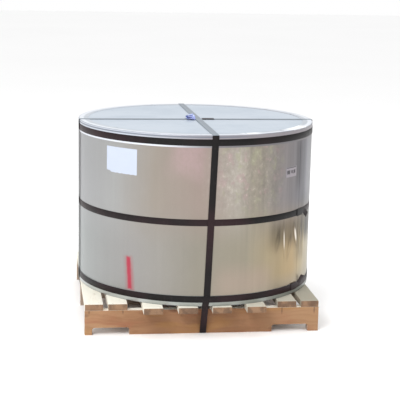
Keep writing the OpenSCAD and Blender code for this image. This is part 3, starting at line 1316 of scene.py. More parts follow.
@dataclass
class CoilPackage:
    """The wound strip, its sheet, its covers and its edge rings.

    Attributes:
        columns: Faces round the plain part of the sheet.
        creased_columns: Faces round its creased part.
        creased: Directions between which it is creased, in degrees.
        rows: Faces up the sheet.
        seam: Direction of the sheet's seam, in degrees.
        lap: Width of the sheet's lap, in degrees.
        lap_step: Height of the lap's step, which is the sheet's thickness.
        stand_off: Distance from the coil to the sheet's outer face.
        wave: Depth of the sheet's slow waves.
        full_crest: How far a crease stands off where its light edge is brightest.
        low: Height of the sheet's lower edge.
        high: Height of its upper edge.
        radius: Radius of its outer face.
    """

    columns: int = 640
    creased_columns: int = 420
    creased: tuple[float, float] = (-58.0, -22.0)
    rows: int = 72
    seam: float = -37.0
    lap: float = 5.75
    lap_step: float = 0.0006
    stand_off: float = 0.0008
    wave: float = 0.0005
    full_crest: float = 0.0025
    low: float = field(init=False)
    high: float = field(init=False)
    radius: float = field(init=False)

    def __post_init__(self) -> None:
        """Takes the sheet's place from the CAD frame."""
        self.low = corner("outer_wrap", False).z
        self.high = corner("outer_wrap", True).z
        self.radius = corner("steel_coil", True).x + self.stand_off

    @staticmethod
    def ridges() -> tuple[Ridge, ...]:
        """Creases below the middle band, beside the seam.

        Returns:
            The creases.
        """
        return (
            Ridge(angle=-54.0, half_width=1.30, height=0.440, reach=0.050, stand_off=0.0010, slant=16.0),
            Ridge(angle=-49.4, half_width=0.55, height=0.445, reach=0.070, stand_off=0.0027, slant=-6.0),
            Ridge(angle=-45.0, half_width=1.20, height=0.400, reach=0.055, stand_off=0.0011, slant=24.0),
            Ridge(angle=-39.6, half_width=1.10, height=0.455, reach=0.045, stand_off=0.0032, slant=-26.0),
            Ridge(angle=-34.6, half_width=0.60, height=0.420, reach=0.060, stand_off=0.0016, slant=10.0),
            Ridge(angle=-29.5, half_width=0.90, height=0.400, reach=0.070, stand_off=0.0018, slant=6.0),
        )

    def crest(self, angle: float, z: float) -> float:
        """How far the creases stand off in a direction and at a height."""
        return sum(ridge.at(angle, z) for ridge in self.ridges())

    def surface_radius(self, angle: float, z: float) -> float:
        """Radius of the creased sheet.

        Args:
            angle: Direction in degrees.
            z: Height.

        Returns:
            The radius there.
        """
        past_seam = (angle - self.seam) % 360.0
        lap = self.lap_step if past_seam < self.lap else 0.0
        share = (z - self.low) / (self.high - self.low)
        held = 4.0 * share * (1.0 - share)
        spot = Vector(around(0.6, angle, z))
        wave = self.wave * abs(noise.noise(spot * 3.1)) * held
        return self.radius + lap + wave + self.crest(angle, z)

    def build(self) -> None:
        """Builds the sheet and the edge rings and dresses the coil and its covers."""
        self.build_sheet()
        dress("steel_coil", CoilEdge().material())
        self.dress_covers()
        self.build_rings()

    def build_sheet(self) -> None:
        """Builds the sheet as a closed thin tube with its seam and creases."""
        start, stop = self.creased
        near, rest = (stop - start) / self.creased_columns, (360.0 + start - stop) / self.columns
        angles = [start + near * at for at in range(self.creased_columns)]
        angles += [stop + rest * at for at in range(self.columns)]
        points: list[Point] = []
        for row in range(self.rows + 1):
            z = self.low + (self.high - self.low) * row / self.rows
            points += [around(self.surface_radius(angle, z), angle, z) for angle in angles]
        for z in (self.high, self.low):
            points += [around(self.radius - self.lap_step, angle, z) for angle in angles]
        mesh = mesh_from("wrap_sheet", points, ring_faces(self.rows + 3, len(angles)))
        smooth(mesh, 50.0)
        crests = mesh.attributes.new("crest", "FLOAT", "POINT")
        places = [vertex.co for vertex in mesh.vertices]
        heights = [self.crest(math.atan2(spot.y, spot.x) * DEGREES, spot.z) for spot in places]
        crests.data.foreach_set("value", [height / self.full_crest for height in heights])
        mesh.materials.append(GalvanisedSheet(self.low, self.high, self.seam).material())
        settle(add_piece("wrap_sheet", mesh), "galvanised_sheet", "outer_wrap")

    @staticmethod
    def dress_covers() -> None:
        """Dresses the pale sheet covers at both ends."""
        shade = srgb(158, 169, 181)
        cover = ZincSheet(
            name="cover_sheet",
            colour=srgb(178, 187, 197),
            shade=shade,
            upright=shade,
            shaded_upright=shade,
            metallic=0.25,
            roughness=0.36,
        ).material()
        for node in ("top_cover", "bottom_cover"):
            dress(node, cover)

    @staticmethod
    def build_rings() -> None:
        """Builds the edge rings with their finishes."""
        low, high = corner("top_ring", False), corner("top_ring", True)
        # The upright faces are painted lit on the left and shaded on the right.
        top_finish = ZincSheet(
            name="top_ring_sheet",
            colour=srgb(186, 192, 200),
            shade=srgb(160, 168, 178),
            upright=srgb(196, 202, 212),
            shaded_upright=srgb(146, 139, 143),
            metallic=0.45,
            roughness=0.26,
            rim=high.x,
            leg=(low.z, high.z),
        )
        bottom_finish = ZincSheet(
            name="low_ring_sheet",
            colour=srgb(186, 188, 188),
            shade=srgb(160, 162, 160),
            upright=srgb(176, 180, 178),
            shaded_upright=srgb(140, 144, 138),
            metallic=0.40,
            roughness=0.32,
            rim=high.x,
        )
        EdgeRing("top_ring", top_finish, flange_z=high.z, inward=-1.0).build()
        EdgeRing("bottom_ring", bottom_finish, flange_z=corner("bottom_ring", False).z, inward=1.0).build()


@dataclass
class EdgeRing:
    """An edge ring: a flange with V notches and an upright leg, joined by a rounded corner.

    Attributes:
        node: The CAD node that it stands for.
        finish: Its sheet.
        flange_z: Height of the flange's outer face.
        inward: Direction from the flange towards the middle of the coil, +1 or -1.
        flange: Width of the flange.
        thick: Thickness of its sheet.
        bend: Outer radius of its corner.
        notches: Number of notches.
        notch_half: Half the width of a notch at its mouth.
        land: Width of flange left outside the tip of a notch.
        first: Direction of the first notch, in degrees.
        ripple: Depth of the waves at the leg's free edge.
        columns: Faces round the ring.
        outer: Outer radius of the leg.
        leg: Height of the leg.
    """

    node: str
    finish: ZincSheet
    flange_z: float
    inward: float
    flange: float = 0.050
    thick: float = 0.0012
    bend: float = 0.0036
    notches: int = 16
    notch_half: float = 0.004
    land: float = 0.006
    first: float = -5.0
    ripple: float = 0.0004
    columns: int = 1152
    outer: float = field(init=False)
    leg: float = field(init=False)

    def __post_init__(self) -> None:
        """Takes the leg's size from the CAD frame."""
        low, high = corner(self.node, False), corner(self.node, True)
        self.outer, self.leg = high.x, high.z - low.z

    def profile(self) -> list[tuple[float, float]]:
        """Section of the ring, from the flange's inner edge round the corner to the leg and back.

        Returns:
            Points as a radius and a distance from the flange's outer face.
        """
        bend, small = self.bend, self.bend - self.thick
        inner, middle = self.outer - self.flange, self.outer - bend
        corner_out = [(middle + bend * math.sin(at), bend * (1 - math.cos(at))) for at in quarter(6)]
        corner_in = [(middle + small * math.sin(at), bend - small * math.cos(at)) for at in quarter(4)[::-1]]
        leg_end = [(self.outer, self.leg), (self.outer - self.thick, self.leg)]
        return [(inner, 0.0), *corner_out, *leg_end, *corner_in, (inner, self.thick)]

    def notch_depth(self, angle: float) -> float:
        """Depth to which the flange's inner edge is cut in a direction.

        Args:
            angle: Direction in degrees.

        Returns:
            The depth, 0 between the notches.
        """
        pitch = 360.0 / self.notches
        off = abs((angle - self.first + pitch / 2) % pitch - pitch / 2)
        arc = math.radians(off) * (self.outer - self.flange)
        return max(0.0, 1.0 - arc / self.notch_half) * (self.flange - self.land)

    def build(self) -> None:
        """Builds the ring."""
        inner, profile = self.outer - self.flange, self.profile()
        points: list[Point] = []
        for column in range(self.columns):
            angle = 360.0 * column / self.columns
            notch = self.notch_depth(angle)
            wave = self.ripple * abs(math.sin(math.radians(angle) * self.notches * 3))
            for radius, drop in profile:
                place = radius + notch if radius <= inner else radius
                z = self.flange_z + self.inward * drop
                points.append(around(place - wave * drop / self.leg, angle, z))
        mesh = mesh_from(self.node + "_sheet", points, ring_faces(self.columns, len(profile)))
        smooth(mesh, 40.0)
        mesh.materials.append(self.finish.material())
        settle(add_piece(self.node + "_sheet", mesh), "ring_sheet", self.node)


# ----------------------------------------------------------
# Strapping
# ----------------------------------------------------------


@dataclass
class StrapRun:
    """A strap as the path of its middle and the direction its outer face looks in at each point.

    Attributes:
        points: Middle of the strap's thickness and width.
        outward: Direction of its outer face.
        closed: Whether the path is a loop.
    """

    points: list[Point]
    outward: list[Point]
    closed: bool

    def mesh(self, name: str) -> bpy.types.Mesh:
        """Makes the path a mesh of edges with the outward directions stored on its points.

        Args:
            name: The mesh's name.

        Returns:
            The mesh.
        """
        count = len(self.points)
        edges = [(at, (at + 1) % count) for at in range(count if self.closed else count - 1)]
        mesh = bpy.data.meshes.new(name)
        mesh.from_pydata(self.points, edges, [])
        stored = mesh.attributes.new("outward", "FLOAT_VECTOR", "POINT")
        stored.data.foreach_set("vector", [part for out in self.outward for part in out])
        return mesh


@dataclass(frozen=True)
class LooseEnd:
    """The free end of a band, which sticks out past its seal.

    Attributes:
        node: The band's CAD node.
        seal: Direction of the band's seal, in degrees.
        lean: Its lean in degrees, upwards if positive.
        curl: How strongly it bends away from the coil.
        twist: How far it turns about the coil's axis at its tip, in degrees.
        length: Its length.
    """

    node: str
    seal: float
    lean: float
    curl: float
    twist: float
    length: float = 0.049


@dataclass(frozen=True)
class TapeRibbon:
    """A crumpled ribbon of the tape that is knotted round the crossing.

    Attributes:
        name: Its name.
        seed: Makes its folds its own.
        steps: Points along it.
        spread: How far it spreads, as a share of the tie's size.
        width: Its width.
        rise: Half the height of its folds.
        thick: Its thickness.
    """

    name: str
    seed: int
    steps: int
    spread: float
    width: float
    rise: float
    thick: float = 0.0005

    def run(self, low: Vector, high: Vector) -> StrapRun:
        """Path of the ribbon over the crossing.

        Args:
            low: Lowest corner of the tie.
            high: Highest corner of the tie.

        Returns:
            The ribbon's path.
        """
        middle, half = (low + high) / 2, (high - low) / 2
        chance = random.Random(self.seed)
        phase = [chance.uniform(0, 2 * math.pi) for _ in range(4)]
        points: list[Point] = []
        outward: list[Point] = []
        for at in range(self.steps):
            turn = 2 * math.pi * 4 * at / self.steps
            x = middle.x + half.x * min(self.spread, 1.0) * 0.88 * math.sin(turn + phase[0])
            y = middle.y + half.y * self.spread * 0.92 * math.sin(turn * 0.63 + phase[1])
            lift = self.rise + self.rise * math.sin(turn * 1.6 + phase[2])
            points.append((x, y, low.z + 0.0036 + lift + chance.uniform(-0.0002, 0.0002)))
            tilt = 0.5 * math.sin(turn * 1.3 + phase[3])
            outward.append((math.sin(tilt), 0.0, math.cos(tilt)))
        return StrapRun(points, outward, False)


@dataclass
class Strapping:
    """The bands round the coil, the two straps over it, their seals and the tape at their crossing.

    Attributes:
        width: Width of the strap.
        thick: Thickness of the strap.
        bend: Radius of its middle line where it bends over an edge.
        gap: Gap between two layers of strap, and between a strap and the floor.
        clearance: Gap between a strap and the piece that it is pulled tight on.
        band_x: Sideways place of the front strap where it passes the bottom band.
        back_x: Its sideways place at the back of the coil's top.
        hump: How far its rise to the crossing starts before the side strap.
    """

    width: float = 0.032
    thick: float = 0.0009
    bend: float = 0.003
    gap: float = 0.0001
    clearance: float = 0.0002
    band_x: float = -0.008
    back_x: float = -0.006
    hump: float = 0.002

    def sweep(
        self, name: str, run: StrapRun, material: bpy.types.Material, width: float = 0.0, thick: float = 0.0
    ) -> bpy.types.Object:
        """Sweeps the strap's section along a run with a geometry nodes tree.

        Args:
            name: Name of the finished piece.
            run: The strap's path.
            material: Its finish.
            width: Width, if not the strap's own.
            thick: Thickness, if not the strap's own.

        Returns:
            The finished piece.
        """
        tree = ShapeTree(name + "_sweep")
        wide = tree.size("Width", width or self.width)
        deep = tree.size("Thickness", thick or self.thick)
        rounding = tree.size("Edge Radius", 0.4 * (thick or self.thick))
        vectors = {"data_type": "FLOAT_VECTOR"}
        outward = tree.node("GeometryNodeInputNamedAttribute", vectors, {"Name": "outward"}, "Attribute")
        path = tree.node("GeometryNodeMeshToCurve", None, {0: tree.geometry})
        path = tree.node("GeometryNodeSetCurveNormal", {"mode": "FREE"}, {"Curve": path, "Normal": outward})
        sides = {"Width": deep, "Height": wide}
        section = tree.node("GeometryNodeCurvePrimitiveQuadrilateral", {"mode": "RECTANGLE"}, sides)
        rounded = {"Curve": section, "Count": 2, "Radius": rounding}
        section = tree.node("GeometryNodeFilletCurve", {"mode": "POLY"}, rounded)
        swept = {"Curve": path, "Profile Curve": section, "Fill Caps": True}
        tree.close(tree.node("GeometryNodeCurveToMesh", None, swept), material)
        piece = tree.apply(name, run.mesh(name + "_path"))
        face_outwards(piece.data)
        smooth(piece.data, 40.0)
        return piece

    def band_run(self, end: LooseEnd) -> StrapRun:
        """Path of a band: one turn that climbs over its start, its lap and its loose end.

        Args:
            end: The band's loose end.

        Returns:
            The band's path.
        """
        inner = self.band_radius(end.node)
        low, high = corner(end.node, False).z, corner(end.node, True).z
        z = low + self.width / 2 if end.lean >= 0 else high - self.width / 2
        layer, step = self.thick + self.gap, 2.0
        turn, lap, climb, pieces = 180, 5, 3, 10
        start = end.seal - lap * step / 2
        points: list[Point] = []
        outward: list[Point] = []
        for at in range(turn + lap + 1):
            rise = layer * max(0.0, min(1.0, (at - turn + climb) / climb))
            angle = start + at * step
            points.append(around(inner + self.thick / 2 + rise, angle, z))
            outward.append(around(1.0, angle, 0.0))
        begin = start + (turn + lap) * step
        slope = math.radians(end.lean)
        for at in range(1, pieces + 1):
            share = at / pieces
            run = end.length * share * math.cos(slope)
            lift = end.curl * end.length * share * share
            angle = begin + run / inner * DEGREES
            height = z + end.length * math.sin(slope) * share**1.4
            points.append(around(inner + self.thick / 2 + layer + lift, angle, height))
            facing = angle - math.atan(2 * end.curl * share) * DEGREES + end.twist * share
            outward.append(around(1.0, facing, 0.0))
        return StrapRun(points, outward, False)

    def band_radius(self, node: str) -> float:
        """Inner radius of a band, from the piece that it is pulled tight on."""
        under = "outer_wrap" if node == "middle_band" else "top_ring"
        return corner(under, True).x + self.clearance

    def loop_run(self, corners: Sequence[Point], along: Vector, side: Vector) -> StrapRun:
        """Path of a strap that goes over corners, each with a small bend.

        Args:
            corners: Distance along, height and sideways place of the strap's middle at each corner.
            along: Direction in which the first of those is measured.
            side: Direction in which the last of those is measured.

        Returns:
            The strap's closed path.
        """
        count = len(corners)
        flat = [Vector((a, z)) for a, z, _ in corners]
        points: list[Point] = []
        outward: list[Point] = []
        for at in range(count):
            here, before, after = flat[at], flat[at - 1], flat[(at + 1) % count]
            into, out = (here - before).normalized(), (after - here).normalized()
            turn = into.angle_signed(out)
            shorter = min((after - here).length, (here - before).length)
            trim = min(self.bend * math.tan(abs(turn) / 2), 0.4 * shorter)
            steps = 6 if abs(turn) > 0.2 else 1
            first, last = here - into * trim, here + out * trim
            for step in range(steps + 1):
                share = step / steps
                spot = first.lerp(here, share).lerp(here.lerp(last, share), share)
                face = into.lerp(out, share).normalized()
                across = corners[at][2]
                points.append(tuple(along * spot.x + side * across + Vector((0, 0, spot.y))))
                outward.append(tuple(along * -face.y + Vector((0, 0, face.x))))
        return StrapRun(points, outward, True)

    def build(self) -> None:
        """Builds the bands, the straps, their seals and the tape."""
        steel = StrapSteel().material("band_steel")
        top = corner("top_cover", True).z + 0.0010
        # The crossing straps carry the painted sheen above the coil's top.
        crossing_steel = StrapSteel(pale_above=top).material("strap_steel")
        ends = (
            LooseEnd("bottom_band", seal=-40.0, lean=70.0, curl=0.34, twist=20.0),
            LooseEnd("middle_band", seal=-36.0, lean=-40.0, curl=0.16, twist=10.0),
            LooseEnd("top_band", seal=152.0, lean=-5.0, curl=0.45, twist=0.0),
        )
        for end in ends:
            settle(self.sweep(end.node + "_strip", self.band_run(end), steel), "strap_steel", end.node)
        for node in ("bottom_seal", "middle_seal", "top_seal", "side_strap_seal"):
            dress(node, steel)
        for node, run in (("side_strap", self.side_run()), ("front_strap", self.front_run())):
            settle(self.sweep(node + "_strip", run, crossing_steel), "strap_steel", node)
        self.build_tape()

    def side_run(self) -> StrapRun:
        """Path of the strap from side to side, clockwise seen from the front.

        Returns:
            The strap's path.
        """
        low, high = corner("side_strap", False), corner("side_strap", True)
        half = self.thick / 2
        deck, under = corner("deck_board_1", True).z, corner("deck_board_1", False).z
        left, right = corner("deck_board_1", False).x, corner("deck_board_8", True).x
        y = (low.y + high.y) / 2
        top = corner("top_ring", True).z + self.clearance + half
        below = under - self.clearance - half
        corners = [
            (left - half, below, y),
            (low.x + half, deck, y),
            (low.x + half, top, y),
            (high.x - half, top, y),
            (high.x - half, deck, y),
            (right + half, below, y),
        ]
        return self.loop_run(corners, Vector((1, 0, 0)), Vector((0, 1, 0)))

    def front_run(self) -> StrapRun:
        """Path of the strap from front to back, clockwise seen from the right.

        Returns:
            The strap's path.
        """
        low, high = corner("front_strap", False), corner("front_strap", True)
        half = self.thick / 2
        deck, foot = corner("deck_board_4", True).z, half + self.gap
        end = corner("stringer_back", True).y + self.clearance + half
        band_top = corner("bottom_band", False).z + self.width
        over = corner("side_strap", True).z + self.gap + half
        top = over - self.thick - self.gap
        cross_y = (corner("side_strap", False).y + corner("side_strap", True).y) / 2
        hump = self.width / 2 + self.hump
        deck_x, front_x = low.x + self.width / 2, high.x - self.width / 2
        reach = high.y - half
        cross_x = front_x + (self.back_x - front_x) * (cross_y + reach) / (2 * reach)
        corners = [
            (-end, foot, deck_x),
            (-reach, deck, deck_x),
            (-reach, band_top, self.band_x),
            (-reach, top, front_x),
            (cross_y - hump, over, cross_x),
            (cross_y + hump, over, cross_x),
            (reach, top, self.back_x),
            (reach, band_top, self.band_x),
            (reach, deck, deck_x),
            (end, foot, deck_x),
        ]
        return self.loop_run(corners, Vector((0, 1, 0)), Vector((1, 0, 0)))

    def build_tape(self) -> None:
        """Builds the crumpled tape at the crossing, from three knotted ribbons."""
        low, high = corner("crossing_tie", False), corner("crossing_tie", True)
        film = TieFilm().material()
        ribbons = (
            TapeRibbon("crossing_tape", seed=5, steps=72, spread=1.0, width=0.0075, rise=0.0012),
            TapeRibbon("crossing_tape_end", seed=8, steps=60, spread=1.25, width=0.0065, rise=0.0040),
            TapeRibbon("crossing_tape_knot", seed=13, steps=60, spread=1.10, width=0.0070, rise=0.0085),
        )
        for ribbon in ribbons:
            tape = self.sweep(ribbon.name, ribbon.run(low, high), film, ribbon.width, ribbon.thick)
            settle(tape, "tie_tape", "crossing_tie")


# ----------------------------------------------------------
# Labels
# ----------------------------------------------------------


@dataclass
class SheetLabel:
    """A paper label on the sheet, slightly buckled, with its corners a little off.

    Attributes:
        node: The CAD node that it stands for.
        finish: Its paper.
        ragged: Depth to which its lower edge is torn.
        thick: Thickness of the paper.
        stand_off: Distance from the coil to the label's back.
        columns: Faces across it.
        rows: Faces up it.
    """

    node: str
    finish: Paper
    ragged: float
    thick: float = 0.00025
    stand_off: float = 0.0009
    columns: int = 40
    rows: int = 26

    def tear(self, wide: float, tall: float, seed: float) -> float:
        """How far a torn place of the label is above its straight edge.

        Args:
            wide: Place across the label, as a share.
            tall: Place up the label, as a share.
            seed: Makes each label different.

        Returns:
            The distance, 0 away from the lower edge.
        """
        corner_tear = 1.5 * max(0.0, 0.22 - wide) / 0.22
        jag = 0.4 + 0.5 * noise.noise(Vector((wide * 14.0, 4.0, seed))) + corner_tear
        return self.ragged * max(0.0, jag) * (1 - tall) ** 4

    @staticmethod
    def buckle(wide: float, tall: float, seed: float) -> float:
        """How far the label stands off the sheet.

        Args:
            wide: Place across the label, as a share.
            tall: Place up the label, as a share.
            seed: Makes each label different.

        Returns:
            The distance.
        """
        bulge = math.sin(math.pi * wide) * math.sin(math.pi * tall)
        return 0.0011 * abs(noise.noise(Vector((wide * 3.3, tall * 2.3, seed)))) * (0.4 + bulge)

    def faces(self) -> list[Face]:
        """Faces of the label's front, back and rim.

        Returns:
            The faces, as the numbers of their points.
        """
        columns, rows = self.columns, self.rows
        across, size = columns + 1, (columns + 1) * (rows + 1)
        faces: list[Face] = []
        for row in range(rows):
            for column in range(columns):
                at = row * across + column
                faces.append((at, at + 1, at + across + 1, at + across))
                faces.append((size + at, size + at + across, size + at + across + 1, size + at + 1))
        rim = [row * across for row in range(rows)]
        rim += [rows * across + column for column in range(columns)]
        rim += [row * across + columns for row in range(rows, 0, -1)]
        rim += list(range(columns, 0, -1))
        for at, here in enumerate(rim):
            after = rim[(at + 1) % len(rim)]
            faces.append((here, after, size + after, size + here))
        return faces

    def build(self) -> None:
        """Builds the label as a thin closed sheet."""
        low, high = corner(self.node, False), corner(self.node, True)
        centre = direction(self.node)
        radius = corner("steel_coil", True).x + self.stand_off
        chord = math.hypot(high.x - low.x, high.y - low.y)
        sweep = 2 * math.asin(min(1.0, chord / 2 / radius)) * DEGREES
        front: list[Point] = []
        back: list[Point] = []
        for row in range(self.rows + 1):
            tall = row / self.rows
            for column in range(self.columns + 1):
                wide = column / self.columns
                angle = centre + sweep * (wide - 0.5)
                z = low.z + (high.z - low.z) * tall + self.tear(wide, tall, centre)
                buckle = self.buckle(wide, tall, centre)
                front.append(around(radius + self.thick + buckle, angle, z))
                back.append(around(radius + buckle * 0.9, angle, z))
        mesh = mesh_from(self.node + "_paper", front + back, self.faces())
        smooth(mesh, 50.0)
        mesh.materials.append(self.finish.material())
        settle(add_piece(self.node + "_paper", mesh), "label_paper", self.node)


# ----------------------------------------------------------
# Pallet
# ----------------------------------------------------------


@dataclass
class Pallet:
    """The notched stringers, the deck boards and the nails that hold them together.

    Attributes:
        boards: Number of deck boards.
        chamfer: Width of the broken edges of the sawn timber.
        wane: Depth to which a board's faces are uneven.
        feet: Widths of a stringer's left and right foot.
        notch_wide: Width of a fork notch.
        notch_high: Height of a fork notch.
        notch_round: Radius of a fork notch's upper corners.
        groove: Half the width and the depth of the groove for the front strap.
        nail_shares: Places of a board's nails, as shares of its width.
        nail_off: Distance of the nails from the middle of a stringer.
        head: Radius of a nail's head.
        head_high: Height of a nail's head.
    """

    boards: int = 8
    chamfer: float = 0.0016
    wane: float = 0.0009
    feet: tuple[float, float] = (0.036, 0.053)
    notch_wide: float = 0.180
    notch_high: float = 0.036
    notch_round: float = 0.012
    groove: tuple[float, float] = (0.020, 0.0010)
    nail_shares: tuple[float, float] = (0.24, 0.76)
    nail_off: float = 0.006
    head: float = 0.0038
    head_high: float = 0.001

    def build(self) -> None:
        """Builds the boards, the stringers and the nails."""
        for number in range(1, self.boards + 1):
            self.build_board(f"deck_board_{number}", number)
        for number, row in enumerate(("front", "middle", "back")):
            self.build_stringer(f"stringer_{row}", 20 + number)
        self.build_nails()

    def build_board(self, node: str, seed: int) -> None:
        """Builds a deck board from a grid whose faces a tree roughens inwards.

        Args:
            node: The CAD node.
            seed: Makes each board different.
        """
        low, high = corner(node, False), corner(node, True)
        size, middle = high - low, (high + low) / 2
        tree = ShapeTree(node + "_rough")
        length = tree.size("Length", size.y - 2 * self.wane)
        width = tree.size("Width", size.x - 2 * self.wane)
        thick = tree.size("Thickness", size.z)
        depth = tree.size("Roughness Depth", 2 * self.wane)
        pick = tree.size("Seed", seed, SocketKind.COUNT)
        extent = tree.node("ShaderNodeCombineXYZ", None, {0: width, 1: length, 2: thick})
        grid = {"Size": extent, "Vertices X": 5, "Vertices Y": 70, "Vertices Z": 3}
        cube = tree.node("GeometryNodeMeshCube", None, grid)
        moved = self._roughened(tree, cube, depth, pick)
        placed = tree.node("GeometryNodeTransform", None, {0: moved, "Translation": tuple(middle)})
        tree.close(placed, Pine(node + "_pine", Grain.ALONG_Y, 1.3 * seed, **self.tones(seed)).material())
        board = tree.apply(node + "_timber", bpy.data.meshes.new(node + "_start"), self.chamfer)
        smooth(board.data, 30.0)
        settle(board, "pallet_wood", node)

    @staticmethod
    def _roughened(tree: ShapeTree, mesh: Value, depth: Value, seed: Value) -> Value:
        """Moves a mesh's points sideways by seeded noise and leaves their heights alone.

        Args:
            tree: The board's tree.
            mesh: The mesh.
            depth: Twice the greatest distance that a point moves.
            seed: Makes each board different.

        Returns:
            The roughened mesh.
        """
        position = tree.node("GeometryNodeInputPosition")
        shift = tree.node("ShaderNodeCombineXYZ", None, {0: seed * 3.7, 1: seed * 1.9, 2: seed * 0.6})
        spot = tree.node("ShaderNodeVectorMath", {"operation": "ADD"}, {0: position, 1: shift})
        soft = tree.node("ShaderNodeTexNoise", None, {"Vector": spot, "Scale": 9.0, "Detail": 3.0}, "Color")
        centred = tree.node("ShaderNodeVectorMath", {"operation": "SUBTRACT"}, {0: soft, 1: (0.5, 0.5, 0.5)})
        level = tree.node("ShaderNodeVectorMath", {"operation": "MULTIPLY"}, {0: centred, 1: (1.0, 1.0, 0.0)})
        offset = tree.node("ShaderNodeVectorMath", {"operation": "SCALE"}, {0: level, "Scale": depth})
        return tree.node("GeometryNodeSetPosition", None, {"Geometry": mesh, "Offset": offset})

    @staticmethod
    def tones(seed: int) -> dict[str, Colour]:
        """Colours of one timber, a little different for each seed; the tops of boards further right take
        painted shade.

        Args:
            seed: The timber's seed.

        Returns:
            Its colours, named as the fields of its finish.
        """
        chance = random.Random(seed)
        lift = chance.uniform(-9, 9)
        tan = srgb(int(184 + lift), int(152 + lift * 0.8), int(120 + lift * 0.6))
        brown = srgb(int(120 + lift), int(84 + lift), int(58 + lift * 0.5))
        # Boards further right get painted shade on their tops.
        grey = int(10 * max(0, seed - 3) ** 1.35)
        weathered_and_lit = srgb(240 - grey, 239 - grey, 226 - grey)
        return {"tan": tan, "brown": brown, "weathered_and_lit": weathered_and_lit}

    def build_stringer(self, node: str, seed: int) -> None:
        """Builds a stringer with its fork notches and the groove for the strap.

        Args:
            node: The CAD node.
            seed: Makes each stringer different.
        """
        low, high = corner(node, False), corner(node, True)
        outline = self.stringer_outline(low, high)
        count = len(outline)
        points = [(x, y, z) for y in (low.y, high.y) for x, z in outline]
        sides = [(at, (at + 1) % count, count + (at + 1) % count, count + at) for at in range(count)]
        faces = [tuple(range(count)), tuple(range(count, 2 * count)), *sides]
        mesh = mesh_from(node + "_timber", points, faces)
        nails = tuple(x for number in range(1, self.boards + 1) for x in self.nail_places(number))
        is_front = node == "stringer_front"
        # The front stringer is darker in its middle and takes painted shade towards its right end.
        timber = Pine(
            name=node + "_pine",
            grain=Grain.ALONG_X,
            seed=0.9 * seed,
            tan=srgb(168, 130, 96) if is_front else srgb(172, 154, 138),
            brown=srgb(124, 84, 52) if is_front else srgb(126, 106, 90),
            dark_middle=0.34 if is_front else 0.0,
            nails=nails[::3],
            deck=high.z,
        )
        mesh.materials.append(timber.material())
        stringer = add_piece(node + "_timber", mesh)
        add_bevel(stringer, self.chamfer)
        settle(stringer, "pallet_wood", node)

    def stringer_outline(self, low: Vector, high: Vector) -> list[tuple[float, float]]:
        """Side view of a stringer.

        Args:
            low: Its lowest corner.
            high: Its highest corner.

        Returns:
            Points (x, z) round its outline.
        """
        half, deep = self.groove
        middle = corner("front_strap", False).x + Strapping.width / 2
        left, right = middle - half, middle + half
        groove = [(left, low.z), (left, low.z + deep), (right, low.z + deep), (right, low.z)]
        return [
            (low.x, high.z),
            (low.x, low.z),
            *self.notch(low.x + self.feet[0], low.z),
            *groove,
            *self.notch(high.x - self.feet[1] - self.notch_wide, low.z),
            (high.x, low.z),
            (high.x, high.z),
        ]

    def notch(self, start: float, foot: float) -> list[tuple[float, float]]:
        """Outline of a fork notch with two rounded upper corners.

        Args:
            start: Place of its left side along the stringer.
            foot: Height of the stringer's foot.

        Returns:
            Points (x, z) from left to right.
        """
        bend, stop, roof = self.notch_round, start + self.notch_wide, foot + self.notch_high
        up = [(start + bend * (1 - math.cos(at)), roof - bend * (1 - math.sin(at))) for at in quarter(6)]
        down = [(stop - bend * (1 - math.sin(at)), roof - bend * (1 - math.cos(at))) for at in quarter(6)]
        return [(start, foot), *up, *down, (stop, foot)]

    def nail_places(self, number: int) -> list[float]:
        """Places along the stringers of a board's nails."""
        low, high = corner(f"deck_board_{number}", False).x, corner(f"deck_board_{number}", True).x
        return [low + share * (high - low) for share in self.nail_shares]

    def build_nails(self) -> None:
        """Builds the nail heads, two where each board crosses a stringer, with one tree."""
        points: list[Point] = []
        for number in range(1, self.boards + 1):
            top = corner(f"deck_board_{number}", True).z
            for row in ("front", "middle", "back"):
                beam = (corner(f"stringer_{row}", False) + corner(f"stringer_{row}", True)) / 2
                for side, x in zip((-1, 1), self.nail_places(number)):
                    points.append((x, beam.y + side * self.nail_off, top - 0.6 * self.head_high))
        tree = ShapeTree("nail_heads")
        head = tree.size("Head Radius", self.head)
        tall = tree.size("Head Height", self.head_high)
        pick = tree.size("Seed", 5, SocketKind.COUNT)
        sizes = {"Vertices": 12, "Radius": head, "Depth": tall}
        disc = tree.node("GeometryNodeMeshCylinder", None, sizes, "Mesh")
        turn = tree.node(
            "FunctionNodeRandomValue",
            {"data_type": "FLOAT_VECTOR"},
            {"Min": (-0.08, -0.08, 0.0), "Max": (0.08, 0.08, 6.283), "Seed": pick},
            "Value",
        )
        cloud = tree.node("GeometryNodeMeshToPoints", None, {0: tree.geometry})
        placed = {"Points": cloud, "Instance": disc, "Rotation": turn}
        tree.close(tree.node("GeometryNodeInstanceOnPoints", None, placed), NailSteel().material())
        start = bpy.data.meshes.new("nail_places")
        start.from_pydata(points, [], [])
        heads = tree.apply("nail_heads", start)
        smooth(heads.data, 40.0)
        settle(heads, "strap_steel")


# ----------------------------------------------------------
# Studio
# ----------------------------------------------------------


